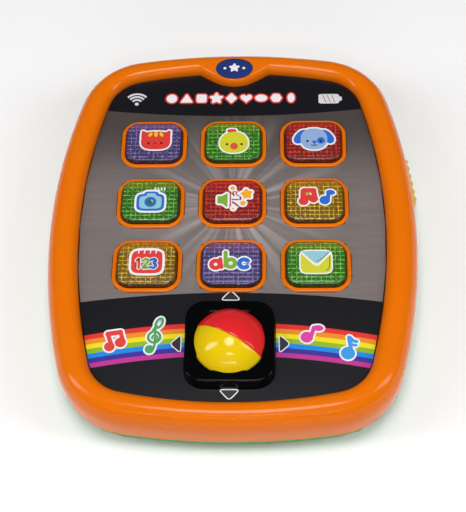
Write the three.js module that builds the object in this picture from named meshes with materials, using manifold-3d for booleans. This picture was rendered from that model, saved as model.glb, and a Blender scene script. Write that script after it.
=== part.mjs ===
// A toddler's toy tablet: a two-shell housing with nine light-up keys, a roller ball in a square
// bezel, a sliding volume switch, a speaker and a battery bay for two cells.
// Millimetres, +Z up. The origin is the middle of the underside, +Y points to the top edge of the
// screen and -Y to the child who holds it.
import * as THREE from "three";
import { mergeVertices } from "three/addons/utils/BufferGeometryUtils.js";
import Module from "manifold-3d";

const wasm = await Module();
wasm.setup();

// ---------------------------------------------------------------- driving dimensions

const CASE = { halfWidth: 89.5, halfLength: 104.5, sideRadius: 280, endRadius: 340, cornerRadius: 37 };
const SCREEN = { halfWidth: 74, halfLength: 92.3, sideRadius: 280, endRadius: 240, cornerRadius: 20 };
const LOBE = { radius: 20, centreY: 103.8, blend: 5 }; // rim bulge that carries the badge

const BADGE = { halfWidth: 9.6, halfLength: 6.4, y: 91.8, z: 33.2, tilt: 0.05, ring: 1.8 };

const WALL = 2.2; // moulded wall of both shells
const GAP = 0.3; // clearance between pieces that meet
const SEAM_Z = 18; // joint between the rear and front shells
const SEAM_STEP = 0.3; // how far the rear shell stands back at the joint
const PANEL_TOP = 29.5; // moulded panel under the faceplate
const PANEL_UNDER = 27.4;
const FACE_Z = 30; // printed surface
const RIM_Z = 34.8; // crest of the rim
const RIM_CREST = 0.62; // share of the rim's width, from outside, where the crest lies
const RIM_FULLNESS = 2.4; // exponent of the rim's superellipse: 2 is round, more is squarer

const REAR_CORNER = 14; // height and depth of the rounded lower edge
const REAR_FULLNESS = 2.3;

const KEY = { pitchX: 40, pitchY: 35, middleY: 12.2, width: 28.8, length: 23.8, radius: 6.4 };
const KEY_TOP = 33;
const KEY_FOOT = 25.2; // lower end of the plunger
const KEY_FLANGE = 1.3; // how far the retaining flange stands out
const LABEL_THICKNESS = 0.35;
const COLLAR = { width: 33, length: 28, radius: 8, top: 30.7 };

const BALL = { radius: 19, y: -64.8, z: 27, shell: 2.4, core: 15.5, segments: 18 };
const RED_POLE = [0.48, 0.88, 0.03]; // where the middle of the red half happens to point
const BEZEL = { size: 41.2, radius: 9, top: 37, gap: 0.45 };
const BEZEL_POST = { offset: 16.3, radius: 2.3 };
const CRADLE = { size: 50, radius: 6, top: 26.8, under: 24.6, wall: 1.8 };
const ROLLER = { radius: 2, drop: 10.65, out: 18.45, lug: 10, wheel: 4.3, teeth: 7 };

const BOARD = { halfWidth: 64, top: 66, bottom: -34, under: 20.2, upper: 21.8 };
const MEMBRANE_TOP = 22.6;
const DOME_TOP = 23.3;
const BOARD_POSTS = [[59, 61], [-59, 61], [59, -29], [-59, -29]];
const CASE_SCREWS = [[67, 82], [-67, 82], [79, 5], [-79, 5], [65, -84], [-65, -84]];

const BAY = { halfWidth: 30, bottom: 20, top: 52, roof: 17.7, wall: 1.5 };
const CELL = { radius: 7.25, length: 49.3, nub: 1.2, nubRadius: 2.6, z: 10.15, start: 24.5 };
const CELL_Y = [28.2, 43.8];
const DOOR = { halfWidth: 33, bottom: 18.4, top: 63, under: 0.2, upper: 2.2, screwY: 57.5 };

const SPEAKER = { y: -20, radius: 18, ring: 1.6 };
const SWITCH = { y: 34, z: 12.6, length: 26, height: 7.4, proud: 2.9, travel: 4 };

const COLOURS = {
  orange: 0xe8730c,
  green: 0x5fa544,
  purple: 0x4b2f7a,
  keyGreen: 0x2f8f2a,
  red: 0xb3161b,
  amber: 0xb08412,
  black: 0x121316,
  white: 0xf2f2ee,
  blue: 0x24356e,
  yellow: 0xf0cf12,
  signalRed: 0xdb2a2c,
  steel: 0xb9bcc0,
  board: 0x1f6b3c,
  rubber: 0xd8d8d4,
};

// ---------------------------------------------------------------- outlines

const vec = (x, y) => new THREE.Vector2(x, y);

// Points of an arc, from one angle up to but not including the other.
function arc(centre, radius, from, to, steps) {
  return Array.from({ length: steps }, (_, i) => {
    const angle = from + ((to - from) * i) / steps;
    return vec(centre.x + radius * Math.cos(angle), centre.y + radius * Math.sin(angle));
  });
}

// A rounded rectangle whose four sides bow outwards. Each corner arc touches its side arc and its
// end arc. The point count depends only on steps, so two such outlines can be lofted together.
function barrel(shape, inset = 0, steps = { side: 3, corner: 4, top: 3, bottom: 3 }) {
  const sideRadius = shape.sideRadius - inset;
  const endRadius = shape.endRadius - inset;
  const cornerRadius = Math.max(shape.cornerRadius - inset, 2);
  const side = vec(shape.halfWidth - inset - sideRadius, 0);
  const end = vec(0, shape.halfLength - inset - endRadius);
  const toSide = sideRadius - cornerRadius;
  const toEnd = endRadius - cornerRadius;
  const apart = side.distanceTo(end);
  const along = (toSide ** 2 - toEnd ** 2 + apart ** 2) / (2 * apart);
  const across = Math.sqrt(toSide ** 2 - along ** 2);
  const unit = end.clone().sub(side).divideScalar(apart);
  const corner = vec(
    side.x + unit.x * along - unit.y * across,
    side.y + unit.y * along + unit.x * across,
  );
  const sideAngle = corner.clone().sub(side).angle();
  const endAngle = corner.clone().sub(end).angle();
  const quarter = (endSteps) => [
    ...arc(side, sideRadius, 0, sideAngle, steps.side),
    ...arc(corner, cornerRadius, sideAngle, endAngle, steps.corner),
    ...arc(end, endRadius, endAngle, Math.PI / 2, endSteps),
  ];
  const topRight = [...quarter(steps.top), vec(0, shape.halfLength - inset)];
  const bottomRight = [...quarter(steps.bottom), vec(0, shape.halfLength - inset)];
  const mirror = (points, sx, sy) => points.map((p) => vec(sx * p.x, sy * p.y));
  return [
    ...topRight,
    ...mirror(topRight, -1, 1).reverse().slice(1),
    ...mirror(bottomRight, -1, -1).slice(1),
    ...mirror(bottomRight, 1, -1).reverse().slice(1, -1),
  ];
}

// The screen's edge: a barrel whose top edge dips smoothly round the badge lobe.
function screenEdge(inset = 0, steps = undefined) {
  const radius = LOBE.radius + inset;
  return barrel(SCREEN, inset, steps).map((p) => {
    if (p.y < 0 || Math.abs(p.x) >= radius) return p;
    const lobe = LOBE.centreY - Math.sqrt(radius ** 2 - p.x ** 2);
    const mix = THREE.MathUtils.clamp(0.5 + (lobe - p.y) / (2 * LOBE.blend), 0, 1);
    return vec(p.x, lobe + (p.y - lobe) * mix - LOBE.blend * mix * (1 - mix));
  });
}

function roundedRect(width, length, radius, cornerSteps = 3) {
  const x = width / 2 - radius;
  const y = length / 2 - radius;
  const quarter = Math.PI / 2;
  return [[x, y], [-x, y], [-x, -y], [x, -y]].flatMap(([cx, cy], i) => [
    ...arc(vec(cx, cy), radius, i * quarter, (i + 1) * quarter, cornerSteps),
    vec(cx + radius * Math.cos((i + 1) * quarter), cy + radius * Math.sin((i + 1) * quarter)),
  ]);
}

const circle = (radius, steps = 12) => arc(vec(0, 0), radius, 0, 2 * Math.PI, steps);
const moved = (outline, x, y) => outline.map((p) => vec(p.x + x, p.y + y));
const between = (from, to, share) => from.map((p, i) => p.clone().lerp(to[i], share));

// ---------------------------------------------------------------- solids

// A closed solid through a stack of [outline, z] with equal point counts, lowest first.
function loft(stack) {
  const count = stack[0][0].length;
  const position = stack.flatMap(([outline, z]) => outline.flatMap((p) => [p.x, p.y, z]));
  const index = [];
  for (let level = 0; level + 1 < stack.length; level++)
    for (let i = 0; i < count; i++) {
      const a = level * count + i;
      const b = level * count + ((i + 1) % count);
      index.push(a, b, b + count, a, b + count, a + count);
    }
  const last = (stack.length - 1) * count;
  for (const [a, b, c] of THREE.ShapeUtils.triangulateShape(stack[0][0], [])) index.push(a, c, b);
  for (const [a, b, c] of THREE.ShapeUtils.triangulateShape(stack.at(-1)[0], []))
    index.push(last + a, last + b, last + c);
  const geometry = new THREE.BufferGeometry();
  geometry.setAttribute("position", new THREE.Float32BufferAttribute(position, 3));
  geometry.setIndex(index);
  return geometry;
}

const prism = (outline, low, high) => loft([[outline, low], [outline, high]]);

function box(x0, x1, y0, y1, z0, z1) {
  const geometry = new THREE.BoxGeometry(x1 - x0, y1 - y0, z1 - z0);
  return geometry.translate((x0 + x1) / 2, (y0 + y1) / 2, (z0 + z1) / 2);
}

function cylinder(x, y, radius, low, high, steps = 12) {
  return prism(moved(circle(radius, steps), x, y), low, high);
}

// A solid of revolution about the vertical through x, y. The profile runs from the axis, up the
// outside and back to the axis, as [radius, z] pairs.
function revolve(profile, x = 0, y = 0, steps = 16) {
  const points = profile.map(([radius, z]) => vec(radius, z));
  return new THREE.LatheGeometry(points, steps).rotateX(Math.PI / 2).translate(x, y, 0);
}

// A round wire or bar along a smooth curve through the given points.
function wire(points, radius, steps = 12, sides = 6) {
  const path = new THREE.CatmullRomCurve3(points.map((p) => new THREE.Vector3(...p)));
  const section = new THREE.Shape(circle(radius, sides));
  return new THREE.ExtrudeGeometry(section, { steps, extrudePath: path, bevelEnabled: false });
}

// The solid that a closed geometry bounds, whichever way round its triangles run.
function manifold(geometry) {
  const plain = geometry.index ? geometry.toNonIndexed() : geometry.clone();
  plain.deleteAttribute("normal");
  plain.deleteAttribute("uv");
  const merged = mergeVertices(plain, 1e-3);
  const vertProperties = merged.attributes.position.array;
  const triVerts = Uint32Array.from(merged.index.array);
  const made = new wasm.Manifold(new wasm.Mesh({ numProp: 3, vertProperties, triVerts }));
  if (made.volume() > 0) return made;
  return new wasm.Manifold(new wasm.Mesh({ numProp: 3, vertProperties, triVerts: triVerts.reverse() }));
}

// Joins the first list of geometries, keeps what lies inside the limit, and cuts the second list out.
function carve(joined, cut = [], limit = undefined) {
  const body = joined.map(manifold).reduce((all, one) => all.add(one));
  const kept = limit ? body.intersect(manifold(limit)) : body;
  const carved = cut.map(manifold).reduce((all, one) => all.subtract(one), kept);
  const { vertProperties, triVerts } = carved.getMesh();
  const geometry = new THREE.BufferGeometry();
  geometry.setAttribute("position", new THREE.BufferAttribute(vertProperties, 3));
  geometry.setIndex(new THREE.BufferAttribute(triVerts, 1));
  return geometry;
}

const finish = (color, roughness = 0.35, metalness = 0) =>
  new THREE.MeshStandardMaterial({ color, roughness, metalness });

function part(name, geometry, material) {
  geometry.computeVertexNormals();
  const mesh = new THREE.Mesh(geometry, material);
  mesh.name = name;
  return mesh;
}

// ---------------------------------------------------------------- housing

const RIM_STEPS = { side: 3, corner: 4, top: 8, bottom: 3 }; // points along each arc of the rim

// Superellipse quarter from (0, 0) to (1, 1), upright at its start and level at its end.
function bullnose(share, fullness) {
  const angle = (share * Math.PI) / 2;
  return { across: 1 - Math.cos(angle) ** (2 / fullness), up: Math.sin(angle) ** (2 / fullness) };
}

const keyPlaces = [1, 0, -1].flatMap((row) =>
  [-1, 0, 1].map((column) => [column * KEY.pitchX, KEY.middleY + row * KEY.pitchY]),
);

// A key's or a collar's outline about one place, with the same corner count for all of them.
const keyOutline = (x, y, { width, length, radius }, grow = 0) =>
  moved(roundedRect(width + grow, length + grow, radius + grow / 2, 2), x, y);

// The rim rises from the seam over a full bullnose and dives to the recessed panel. Each key has a
// raised collar, a ring frames the badge, and posts under the panel take the screws.
function frontShell() {
  const outer = barrel(CASE, 0, RIM_STEPS);
  const inner = screenEdge(0, RIM_STEPS);
  const shoulder = SEAM_Z + 2;
  const rounds = [0, 0.32, 0.66, 1];
  const skin = [
    [outer, SEAM_Z],
    ...rounds.map((share) => {
      const { across, up } = bullnose(share, RIM_FULLNESS);
      return [between(outer, inner, RIM_CREST * across), shoulder + (RIM_Z - shoulder) * up];
    }),
    ...rounds.slice(0, -1).reverse().map((share) => {
      const { across, up } = bullnose(share, RIM_FULLNESS);
      const inward = RIM_CREST + (1 - RIM_CREST) * (1 - across);
      return [between(outer, inner, inward), PANEL_TOP + (RIM_Z - PANEL_TOP) * up];
    }),
  ];
  const hollow = [
    [0.14, SEAM_Z - 1],
    [0.14, SEAM_Z + 7],
    [0.38, RIM_Z - 3.4],
    [0.8, RIM_Z - 3.4],
    [0.9, PANEL_UNDER],
  ].map(([share, z]) => [between(outer, inner, share), z]);
  const shell = carve([loft(skin)], [loft(hollow)]);

  const added = keyPlaces.map(([x, y]) =>
    loft([
      [keyOutline(x, y, COLLAR), PANEL_UNDER],
      [keyOutline(x, y, COLLAR, -0.6), COLLAR.top],
    ]),
  );
  added.push(badgeDisc(BADGE.ring, BADGE_HEIGHT - 0.1).applyMatrix4(badgePlace));
  for (const [x, y] of CASE_SCREWS) added.push(cylinder(x, y, 3.6, SEAM_Z + GAP, RIM_Z - 2, 8));
  for (const [x, y] of BOARD_POSTS) added.push(cylinder(x, y, 3, BOARD.upper + GAP, PANEL_UNDER + 1, 8));

  const cut = keyPlaces.map(([x, y]) =>
    prism(keyOutline(x, y, KEY, 2 * GAP), PANEL_UNDER - 1, COLLAR.top + 1),
  );
  cut.push(prism(moved(roundedRect(BEZEL.size - 1.5, BEZEL.size - 1.5, 5), 0, BALL.y), 20, FACE_Z + 2));
  for (const [x, y] of CASE_SCREWS) cut.push(cylinder(x, y, 1.6, SEAM_Z, RIM_Z - 6, 6));
  for (const [x, y] of BOARD_POSTS) cut.push(cylinder(x, y, 1.4, BOARD.upper, PANEL_UNDER, 6));
  cut.push(badgeDisc(GAP, 4).applyMatrix4(badgePlace));
  return part("front_shell", carve([shell, ...added], cut), finish(COLOURS.orange));
}

// The badge lies in a pocket on the lobe, flush with the ring round it.
const BADGE_HEIGHT = 1.5;
const badgePlace = new THREE.Matrix4()
  .makeTranslation(0, BADGE.y, BADGE.z)
  .multiply(new THREE.Matrix4().makeRotationX(BADGE.tilt));

function badgeDisc(grow, height) {
  const oval = (shrink) =>
    circle(1, 20).map(({ x, y }) =>
      vec(x * (BADGE.halfWidth + grow - shrink), y * (BADGE.halfLength + grow - shrink)),
    );
  return loft([[oval(0), -grow], [oval(0), height - 0.4], [oval(0.5), height]]);
}

function badge() {
  const mesh = part("badge", badgeDisc(0, BADGE_HEIGHT), finish(COLOURS.blue, 0.25));
  mesh.applyMatrix4(badgePlace);
  return mesh;
}

function faceplate() {
  const sheet = new THREE.Shape(screenEdge(GAP, RIM_STEPS));
  for (const [x, y] of keyPlaces) sheet.holes.push(new THREE.Path(keyOutline(x, y, COLLAR, 2 * GAP)));
  sheet.holes.push(new THREE.Path(bezelOutline(2 * GAP)));
  const geometry = new THREE.ExtrudeGeometry(sheet, { depth: FACE_Z - PANEL_TOP, bevelEnabled: false });
  return part("faceplate", geometry.translate(0, 0, PANEL_TOP), finish(0x6f6968, 0.3));
}

// The switch lies along the wall, so it is built in a frame that is turned with the wall:
// u points outwards from the wall's face and v runs along it.
const switchTurn = Math.asin(SWITCH.y / CASE.sideRadius);
const switchFace = CASE.halfWidth - CASE.sideRadius + CASE.sideRadius * Math.cos(switchTurn);
const switchPlace = new THREE.Matrix4()
  .makeTranslation(switchFace, SWITCH.y, SWITCH.z)
  .multiply(new THREE.Matrix4().makeRotationZ(switchTurn));
const switchBox = (...sides) => box(...sides).applyMatrix4(switchPlace);

// A dish with a rounded lower edge. It carries the screw bosses, the battery bay, the speaker ring
// and grille, and the recess and slot of the volume switch.
function rearShell() {
  const dish = (inset, floor, top, rounds) => [
    ...rounds.map((share) => {
      const { across, up } = bullnose(share, REAR_FULLNESS);
      return [barrel(CASE, inset + REAR_CORNER * across), floor + (REAR_CORNER - floor) * (1 - up)];
    }),
    [barrel(CASE, inset), top],
  ];
  const outside = loft(dish(SEAM_STEP, 0, SEAM_Z, [1, 0.75, 0.5, 0.25, 0]));
  const shell = carve([outside], [loft(dish(SEAM_STEP + WALL, WALL, SEAM_Z + 1, [1, 0.6, 0]))]);

  const added = CASE_SCREWS.map(([x, y]) => cylinder(x, y, 4.8, 1, SEAM_Z, 8));
  const side = BAY.halfWidth + BAY.wall;
  added.push(box(-side, side, BAY.bottom - BAY.wall, BAY.top + BAY.wall, 1, BAY.roof + BAY.wall));
  const doorWidth = DOOR.halfWidth + GAP;
  const ledge = DOOR.upper + GAP + 1.6;
  added.push(box(-doorWidth - 1.6, doorWidth + 1.6, DOOR.bottom - 6, DOOR.top + 1.9, 1, ledge));
  added.push(cylinder(0, DOOR.screwY, 4.6, 1, 9));
  added.push(cylinder(0, SPEAKER.y, SPEAKER.radius + GAP + SPEAKER.ring, 1, 6.5, 20));
  added.push(switchBox(-15, -7.2, -10, 10, 1.2 - SWITCH.z, -4.2));

  const cut = CASE_SCREWS.flatMap(([x, y]) => [
    cylinder(x, y, 3.5, -1, 9.5, 10),
    cylinder(x, y, 1.8, 9, SEAM_Z + 1, 8),
  ]);
  cut.push(box(-BAY.halfWidth, BAY.halfWidth, BAY.bottom, BAY.top, -1, BAY.roof));
  cut.push(box(-doorWidth, doorWidth, DOOR.bottom - GAP, DOOR.top + GAP, -1, DOOR.upper + GAP));
  cut.push(cylinder(0, DOOR.screwY, 1.9, 0, 8, 8));
  for (const x of [-20, 20]) cut.push(box(x - 5, x + 5, DOOR.bottom - 4, BAY.bottom + 1, WALL, 7.5));
  for (const y of CELL_Y) cut.push(box(-side - 1, -BAY.halfWidth + 1, y - 2, y + 2, 13.4, BAY.roof));
  cut.push(cylinder(0, SPEAKER.y, SPEAKER.radius + 2 * GAP, WALL, 8, 20));
  for (let i = -3; i <= 3; i++) {
    const half = Math.sqrt(15 ** 2 - (i * 4.4) ** 2);
    cut.push(prism(moved(roundedRect(2 * half, 2.2, 1, 1), 0, SPEAKER.y + i * 4.4), -1, WALL + 1));
  }
  const reach = SWITCH.length / 2 + SWITCH.travel + 1;
  cut.push(switchBox(-1.4, 6, -reach, reach, -SWITCH.height / 2 - 0.8, 9));
  cut.push(switchBox(-6, 0, -9, 9, -2.6, 2.6));
  return part("rear_shell", carve([shell, ...added], cut, outside), finish(COLOURS.green));
}

// ---------------------------------------------------------------- keys and their labels

// Labels are die-cut outlines, each a union of rounded pads [x, y, width, length, radius].
const KEYS = [
  {
    name: "cat",
    colour: COLOURS.purple,
    pads: [[0, -0.8, 15.6, 10.8, 5], [5.3, 3.8, 4.8, 4.8, 1.4], [-5.3, 3.8, 4.8, 4.8, 1.4]],
  },
  { name: "chick", colour: COLOURS.keyGreen, pads: [[0, -0.7, 14.8, 12.6, 6.2], [0, 6, 5.6, 3, 1.4]] },
  {
    name: "dog",
    colour: COLOURS.red,
    pads: [[0, 0, 13.6, 12.4, 6], [7.2, 1.2, 6, 8.6, 2.9], [-7.2, 1.2, 6, 8.6, 2.9]],
  },
  {
    name: "camera",
    colour: COLOURS.keyGreen,
    pads: [[0, -0.7, 15.4, 11.4, 3.4], [-0.6, 5.2, 6.8, 3.2, 1.3]],
  },
  {
    name: "sound",
    colour: COLOURS.red,
    pads: [[-5.6, 0, 7.4, 9.4, 1.8], [0.6, 0, 6.6, 13, 2.6], [6, 3, 6.4, 6.4, 3]],
  },
  {
    name: "music",
    colour: COLOURS.amber,
    pads: [
      [-3.8, 1.8, 8, 7.4, 2],
      [-6.6, -2.6, 5.8, 5.8, 2.8],
      [-1.2, -2.2, 5.8, 5.8, 2.8],
      [5, -2, 7, 6, 2.9],
      [6.8, 2.4, 5, 5.4, 1.8],
    ],
  },
  { name: "calendar", colour: COLOURS.amber, pads: [[0, 0, 16.6, 14.2, 3.4]] },
  {
    name: "letters",
    colour: COLOURS.purple,
    pads: [[-6.6, -1.4, 8, 8, 3.9], [0.4, -1.4, 8, 8, 3.9], [-2, 1.6, 3.4, 9, 1.6], [7, -1.4, 7.8, 8, 3.8]],
  },
  { name: "mail", colour: COLOURS.keyGreen, pads: [[0, 0, 16, 13, 2.8]] },
];

// A hollow cap with a flange that the panel holds down, tapering sides, a rounded top edge and a
// plunger in the middle that meets the rubber dome.
function keyCap(x, y, name, colour) {
  const plan = (grow) => keyOutline(x, y, KEY, grow);
  const flangeTop = PANEL_UNDER - GAP;
  const cap = loft([
    [plan(2 * KEY_FLANGE), flangeTop - 1.5],
    [plan(2 * KEY_FLANGE), flangeTop],
    [plan(0), flangeTop],
    [plan(-0.4), COLLAR.top],
    [plan(-1.6), KEY_TOP - 0.5],
    [plan(-3), KEY_TOP],
  ]);
  const hollow = prism(plan(-3.6), 20, KEY_TOP - 2.6);
  const shell = carve([cap], [hollow]);
  const plunger = cylinder(x, y, 3, KEY_FOOT, KEY_TOP - 2, 6);
  return part(`key_${name}`, carve([shell, plunger]), finish(colour, 0.15));
}

function keyLabel(x, y, name, pads) {
  const shapes = pads.map(([px, py, width, length, radius]) => {
    const pad = roundedRect(width, length, radius, radius > 3 ? 2 : 1);
    return prism(moved(pad, x + px, y + py), KEY_TOP, KEY_TOP + LABEL_THICKNESS);
  });
  return part(`label_${name}`, carve(shapes), finish(COLOURS.white, 0.4));
}

// One silicone sheet with a dome under every key.
function keyMembrane() {
  const sheet = prism(moved(roundedRect(110, 98, 4), 0, 15), BOARD.upper, MEMBRANE_TOP);
  const domes = keyPlaces.map(([x, y]) =>
    loft([
      [moved(circle(6, 6), x, y), BOARD.upper],
      [moved(circle(6, 6), x, y), MEMBRANE_TOP],
      [moved(circle(3.6, 6), x, y), DOME_TOP],
    ]),
  );
  return part("key_membrane", carve([sheet, ...domes]), finish(COLOURS.rubber, 0.8));
}

// ---------------------------------------------------------------- roller ball

function ballSphere(radius, steps) {
  const geometry = new THREE.SphereGeometry(radius, steps, Math.round(steps / 2));
  return geometry.rotateX(Math.PI / 2).translate(0, BALL.y, BALL.z);
}

// Half of the ball's shell, about its own +Z, a little short of the joint plane.
function ballHalf(name, colour, flipped) {
  const curve = (radius, steps) => {
    const low = Math.asin(GAP / 2 / radius);
    const points = Array.from({ length: steps }, (_, i) => {
      const angle = low + ((Math.PI / 2 - low) * i) / steps;
      return [radius * Math.cos(angle), radius * Math.sin(angle)];
    });
    return [...points, [0, radius]];
  };
  const outside = curve(BALL.radius, 6);
  const inside = curve(BALL.radius - BALL.shell, 4);
  const geometry = revolve([...inside.reverse(), ...outside], 0, 0, BALL.segments);
  const mesh = part(name, geometry, finish(colour, 0.2));
  if (flipped) mesh.rotation.x = Math.PI;
  return mesh;
}

function ball() {
  const group = new THREE.Group();
  group.add(ballHalf("ball_half_red", COLOURS.signalRed, false));
  group.add(ballHalf("ball_half_yellow", COLOURS.yellow, true));
  group.position.set(0, BALL.y, BALL.z);
  const pole = new THREE.Vector3(...RED_POLE).normalize();
  group.quaternion.setFromUnitVectors(new THREE.Vector3(0, 0, 1), pole);
  return group;
}

const ballCore = () => part("ball_core", ballSphere(BALL.core, 12), finish(COLOURS.white, 0.6));

const bezelOutline = (grow) =>
  moved(roundedRect(BEZEL.size + grow, BEZEL.size + grow, BEZEL.radius + grow / 2, 4), 0, BALL.y);

// A square frame with soft edges over a spherical socket; four posts drop through the panel.
function ballBezel() {
  const frame = loft([
    [bezelOutline(0), PANEL_TOP],
    [bezelOutline(-0.4), BEZEL.top - 2],
    [bezelOutline(-1.2), BEZEL.top - 0.6],
    [bezelOutline(-3), BEZEL.top],
  ]);
  const corners = [[1, 1], [-1, 1], [-1, -1], [1, -1]].map(([sx, sy]) => [
    sx * BEZEL_POST.offset,
    BALL.y + sy * BEZEL_POST.offset,
  ]);
  const posts = corners.map(([x, y]) => cylinder(x, y, BEZEL_POST.radius, CRADLE.top, PANEL_TOP + 2, 10));
  const pilots = corners.map(([x, y]) => cylinder(x, y, 1.4, CRADLE.top - 1, PANEL_TOP + 4, 8));
  const socket = ballSphere(BALL.radius + BEZEL.gap, 20);
  return part("ball_bezel", carve([frame, ...posts], [socket, ...pilots]), finish(COLOURS.black, 0.12));
}

// Each roller lies beside the ball, below its middle; the second is the first turned a quarter.
const aroundBall = (turn) =>
  new THREE.Matrix4()
    .makeTranslation(0, BALL.y, BALL.z - ROLLER.drop)
    .multiply(new THREE.Matrix4().makeRotationZ(turn));
const alongX = (x0, x1, radius, steps = 10) =>
  prism(circle(radius, steps), x0, x1).rotateY(Math.PI / 2).translate(0, ROLLER.out, 0);

// A plate under the panel with a bowl that the ball turns in and lugs that carry both rollers.
function ballCradle() {
  const bowlRadius = BALL.radius + BEZEL.gap;
  const outline = moved(roundedRect(CRADLE.size, CRADLE.size, CRADLE.radius), 0, BALL.y);
  const plate = prism(outline, CRADLE.under, CRADLE.top);
  const bowl = ballSphere(bowlRadius + CRADLE.wall, 14);
  const lugs = [0, -Math.PI / 2].flatMap((turn) =>
    [-1, 1].map((side) => {
      const x = side * ROLLER.lug;
      return box(x - 1, x + 1, ROLLER.out - 4, ROLLER.out + 4, -4, 8.5).applyMatrix4(aroundBall(turn));
    }),
  );
  const cut = [
    ballSphere(bowlRadius, 20),
    box(-30, 30, BALL.y - 30, BALL.y + 30, CRADLE.top, 60),
    cylinder(0, BALL.y, 5, 0, 20, 12),
  ];
  for (const turn of [0, -Math.PI / 2]) {
    const place = aroundBall(turn);
    cut.push(box(-9, 9, ROLLER.out - 6, ROLLER.out + 3, -2.6, 3.2).applyMatrix4(place));
    cut.push(alongX(-14, 14, 1.3).applyMatrix4(place));
  }
  for (const [sx, sy] of [[1, 1], [-1, -1]])
    cut.push(cylinder(sx * BEZEL_POST.offset, BALL.y + sy * BEZEL_POST.offset, 1.7, 20, 30, 8));
  return part("ball_cradle", carve([plate, bowl, ...lugs], cut), finish(COLOURS.black, 0.5));
}

// A shaft with a rubbed middle and a toothed wheel that makes and breaks the contacts.
function roller(name, turn) {
  const wheelSide = Array.from({ length: ROLLER.teeth }, (_, i) => {
    const pitch = (2 * Math.PI) / ROLLER.teeth;
    return [0, 0.5].flatMap((half, k) =>
      arc(vec(0, 0), ROLLER.wheel - 1.4 * k, (i + half) * pitch, (i + half + 0.5) * pitch, 1).concat(
        arc(vec(0, 0), ROLLER.wheel - 1.4 * k, (i + half + 0.42) * pitch, (i + half + 0.5) * pitch, 1),
      ),
    );
  }).flat();
  const wheel = prism(wheelSide, 12.2, 14).rotateY(Math.PI / 2).translate(0, ROLLER.out, 0);
  const shaft = carve([alongX(-12.4, 14.4, 1, 8), alongX(-8.4, 8.4, ROLLER.radius, 8), wheel]);
  const mesh = part(name, shaft, finish(COLOURS.white, 0.5));
  mesh.applyMatrix4(aroundBall(turn));
  return mesh;
}

// ---------------------------------------------------------------- electrics

function mainBoard() {
  const { halfWidth, top, bottom, under, upper } = BOARD;
  const outline = moved(roundedRect(2 * halfWidth, top - bottom, 3, 2), 0, (top + bottom) / 2);
  const sheet = prism(outline, under, upper);
  const chip = cylinder(-48, -8, 7, under - 1.6, under + 0.5, 10);
  const socket = box(34, 46, -14, -6, under - 4, under + 0.5);
  const holes = BOARD_POSTS.map(([x, y]) => cylinder(x, y, 1.7, under - 2, upper + 1, 6));
  return part("main_board", carve([sheet, chip, socket], holes), finish(COLOURS.board, 0.5));
}

// A paper-cone speaker that faces the grille: flange, basket and magnet.
function speaker() {
  const low = WALL + GAP;
  const profile = [
    [0, low + 3.5], [8, low + 2], [SPEAKER.radius - 2, low], [SPEAKER.radius, low],
    [SPEAKER.radius, low + 1.2], [SPEAKER.radius - 2.6, low + 1.2], [10, 9], [10, 13.5], [0, 13.5],
  ];
  return part("speaker", revolve(profile, 0, SPEAKER.y, 16), finish(COLOURS.steel, 0.4, 0.8));
}

function speakerRing() {
  const low = WALL + GAP + 1.5;
  const ring = cylinder(0, SPEAKER.y, SPEAKER.radius, low, low + 1.6, 16);
  const hole = cylinder(0, SPEAKER.y, SPEAKER.radius - 2.2, 0, 9, 16);
  return part("speaker_ring", carve([ring], [hole]), finish(COLOURS.black, 0.6));
}

// The grip outside the wall has finger waves; its tongue passes through the slot to a fork.
function switchKnob() {
  const half = SWITCH.length / 2;
  const waves = Array.from({ length: 21 }, (_, i) => {
    const v = -half + 1.4 + ((SWITCH.length - 2.8) * i) / 20;
    return vec(SWITCH.proud - 0.5 + 0.5 * Math.cos((i * Math.PI) / 2), v);
  });
  const outline = [vec(-1, -half + 1), vec(-0.4, -half), vec(SWITCH.proud - 1.4, -half + 0.4), ...waves,
    vec(SWITCH.proud - 1.4, half - 0.4), vec(-0.4, half), vec(-1, half - 1)];
  const grip = prism(outline, -SWITCH.height / 2, SWITCH.height / 2);
  const tongue = box(-6.6, -0.5, -4.5, 4.5, -2.2, 2.2);
  const fork = box(-8, -4, -2, 2, -3, 3);
  const mesh = part("switch_knob", carve([grip, tongue], [fork]), finish(COLOURS.yellow, 0.3));
  mesh.applyMatrix4(switchPlace);
  return mesh;
}

function slideSwitch() {
  const can = box(-14.2, -8.2, -8.5, 8.5, -3.8, 3.8);
  const slot = box(-9.8, -7, -6.2, 6.2, -1.9, 1.9);
  const mesh = part("slide_switch", carve([can], [slot]), finish(COLOURS.steel, 0.3, 0.9));
  mesh.applyMatrix4(switchPlace);
  return mesh;
}

function switchStem() {
  const stem = box(-9.4, -4.6, -1.6, 1.6, -1.5, 1.5);
  const mesh = part("switch_stem", stem, finish(COLOURS.black, 0.5));
  mesh.applyMatrix4(switchPlace);
  return mesh;
}

// ---------------------------------------------------------------- battery bay

// A flush plate with two hooked tabs on the lower edge and a sunk screw on the upper one.
function batteryDoor() {
  const { halfWidth, bottom, top, under, upper, screwY } = DOOR;
  const plate = box(-halfWidth, halfWidth, bottom, top, under, upper);
  const hooks = [-20, 20].flatMap((x) => [
    box(x - 4, x + 4, bottom - 2.4, bottom + 3.4, upper + GAP, upper + 1.6),
    box(x - 4, x + 4, bottom + 2, bottom + 3.4, upper - 0.5, upper + 1),
  ]);
  const cut = [cylinder(0, screwY, 1.8, 0, 4, 8), cylinder(0, screwY, 3.3, 0, 1.6, 12)];
  const grips = [-2, -1, 0, 1, 2].map((i) => box(-8, 8, 48 + i * 2 - 0.5, 48 + i * 2 + 0.5, 0, 0.8));
  return part("battery_door", carve([plate, ...hooks], [...cut, ...grips]), finish(COLOURS.green));
}

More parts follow.
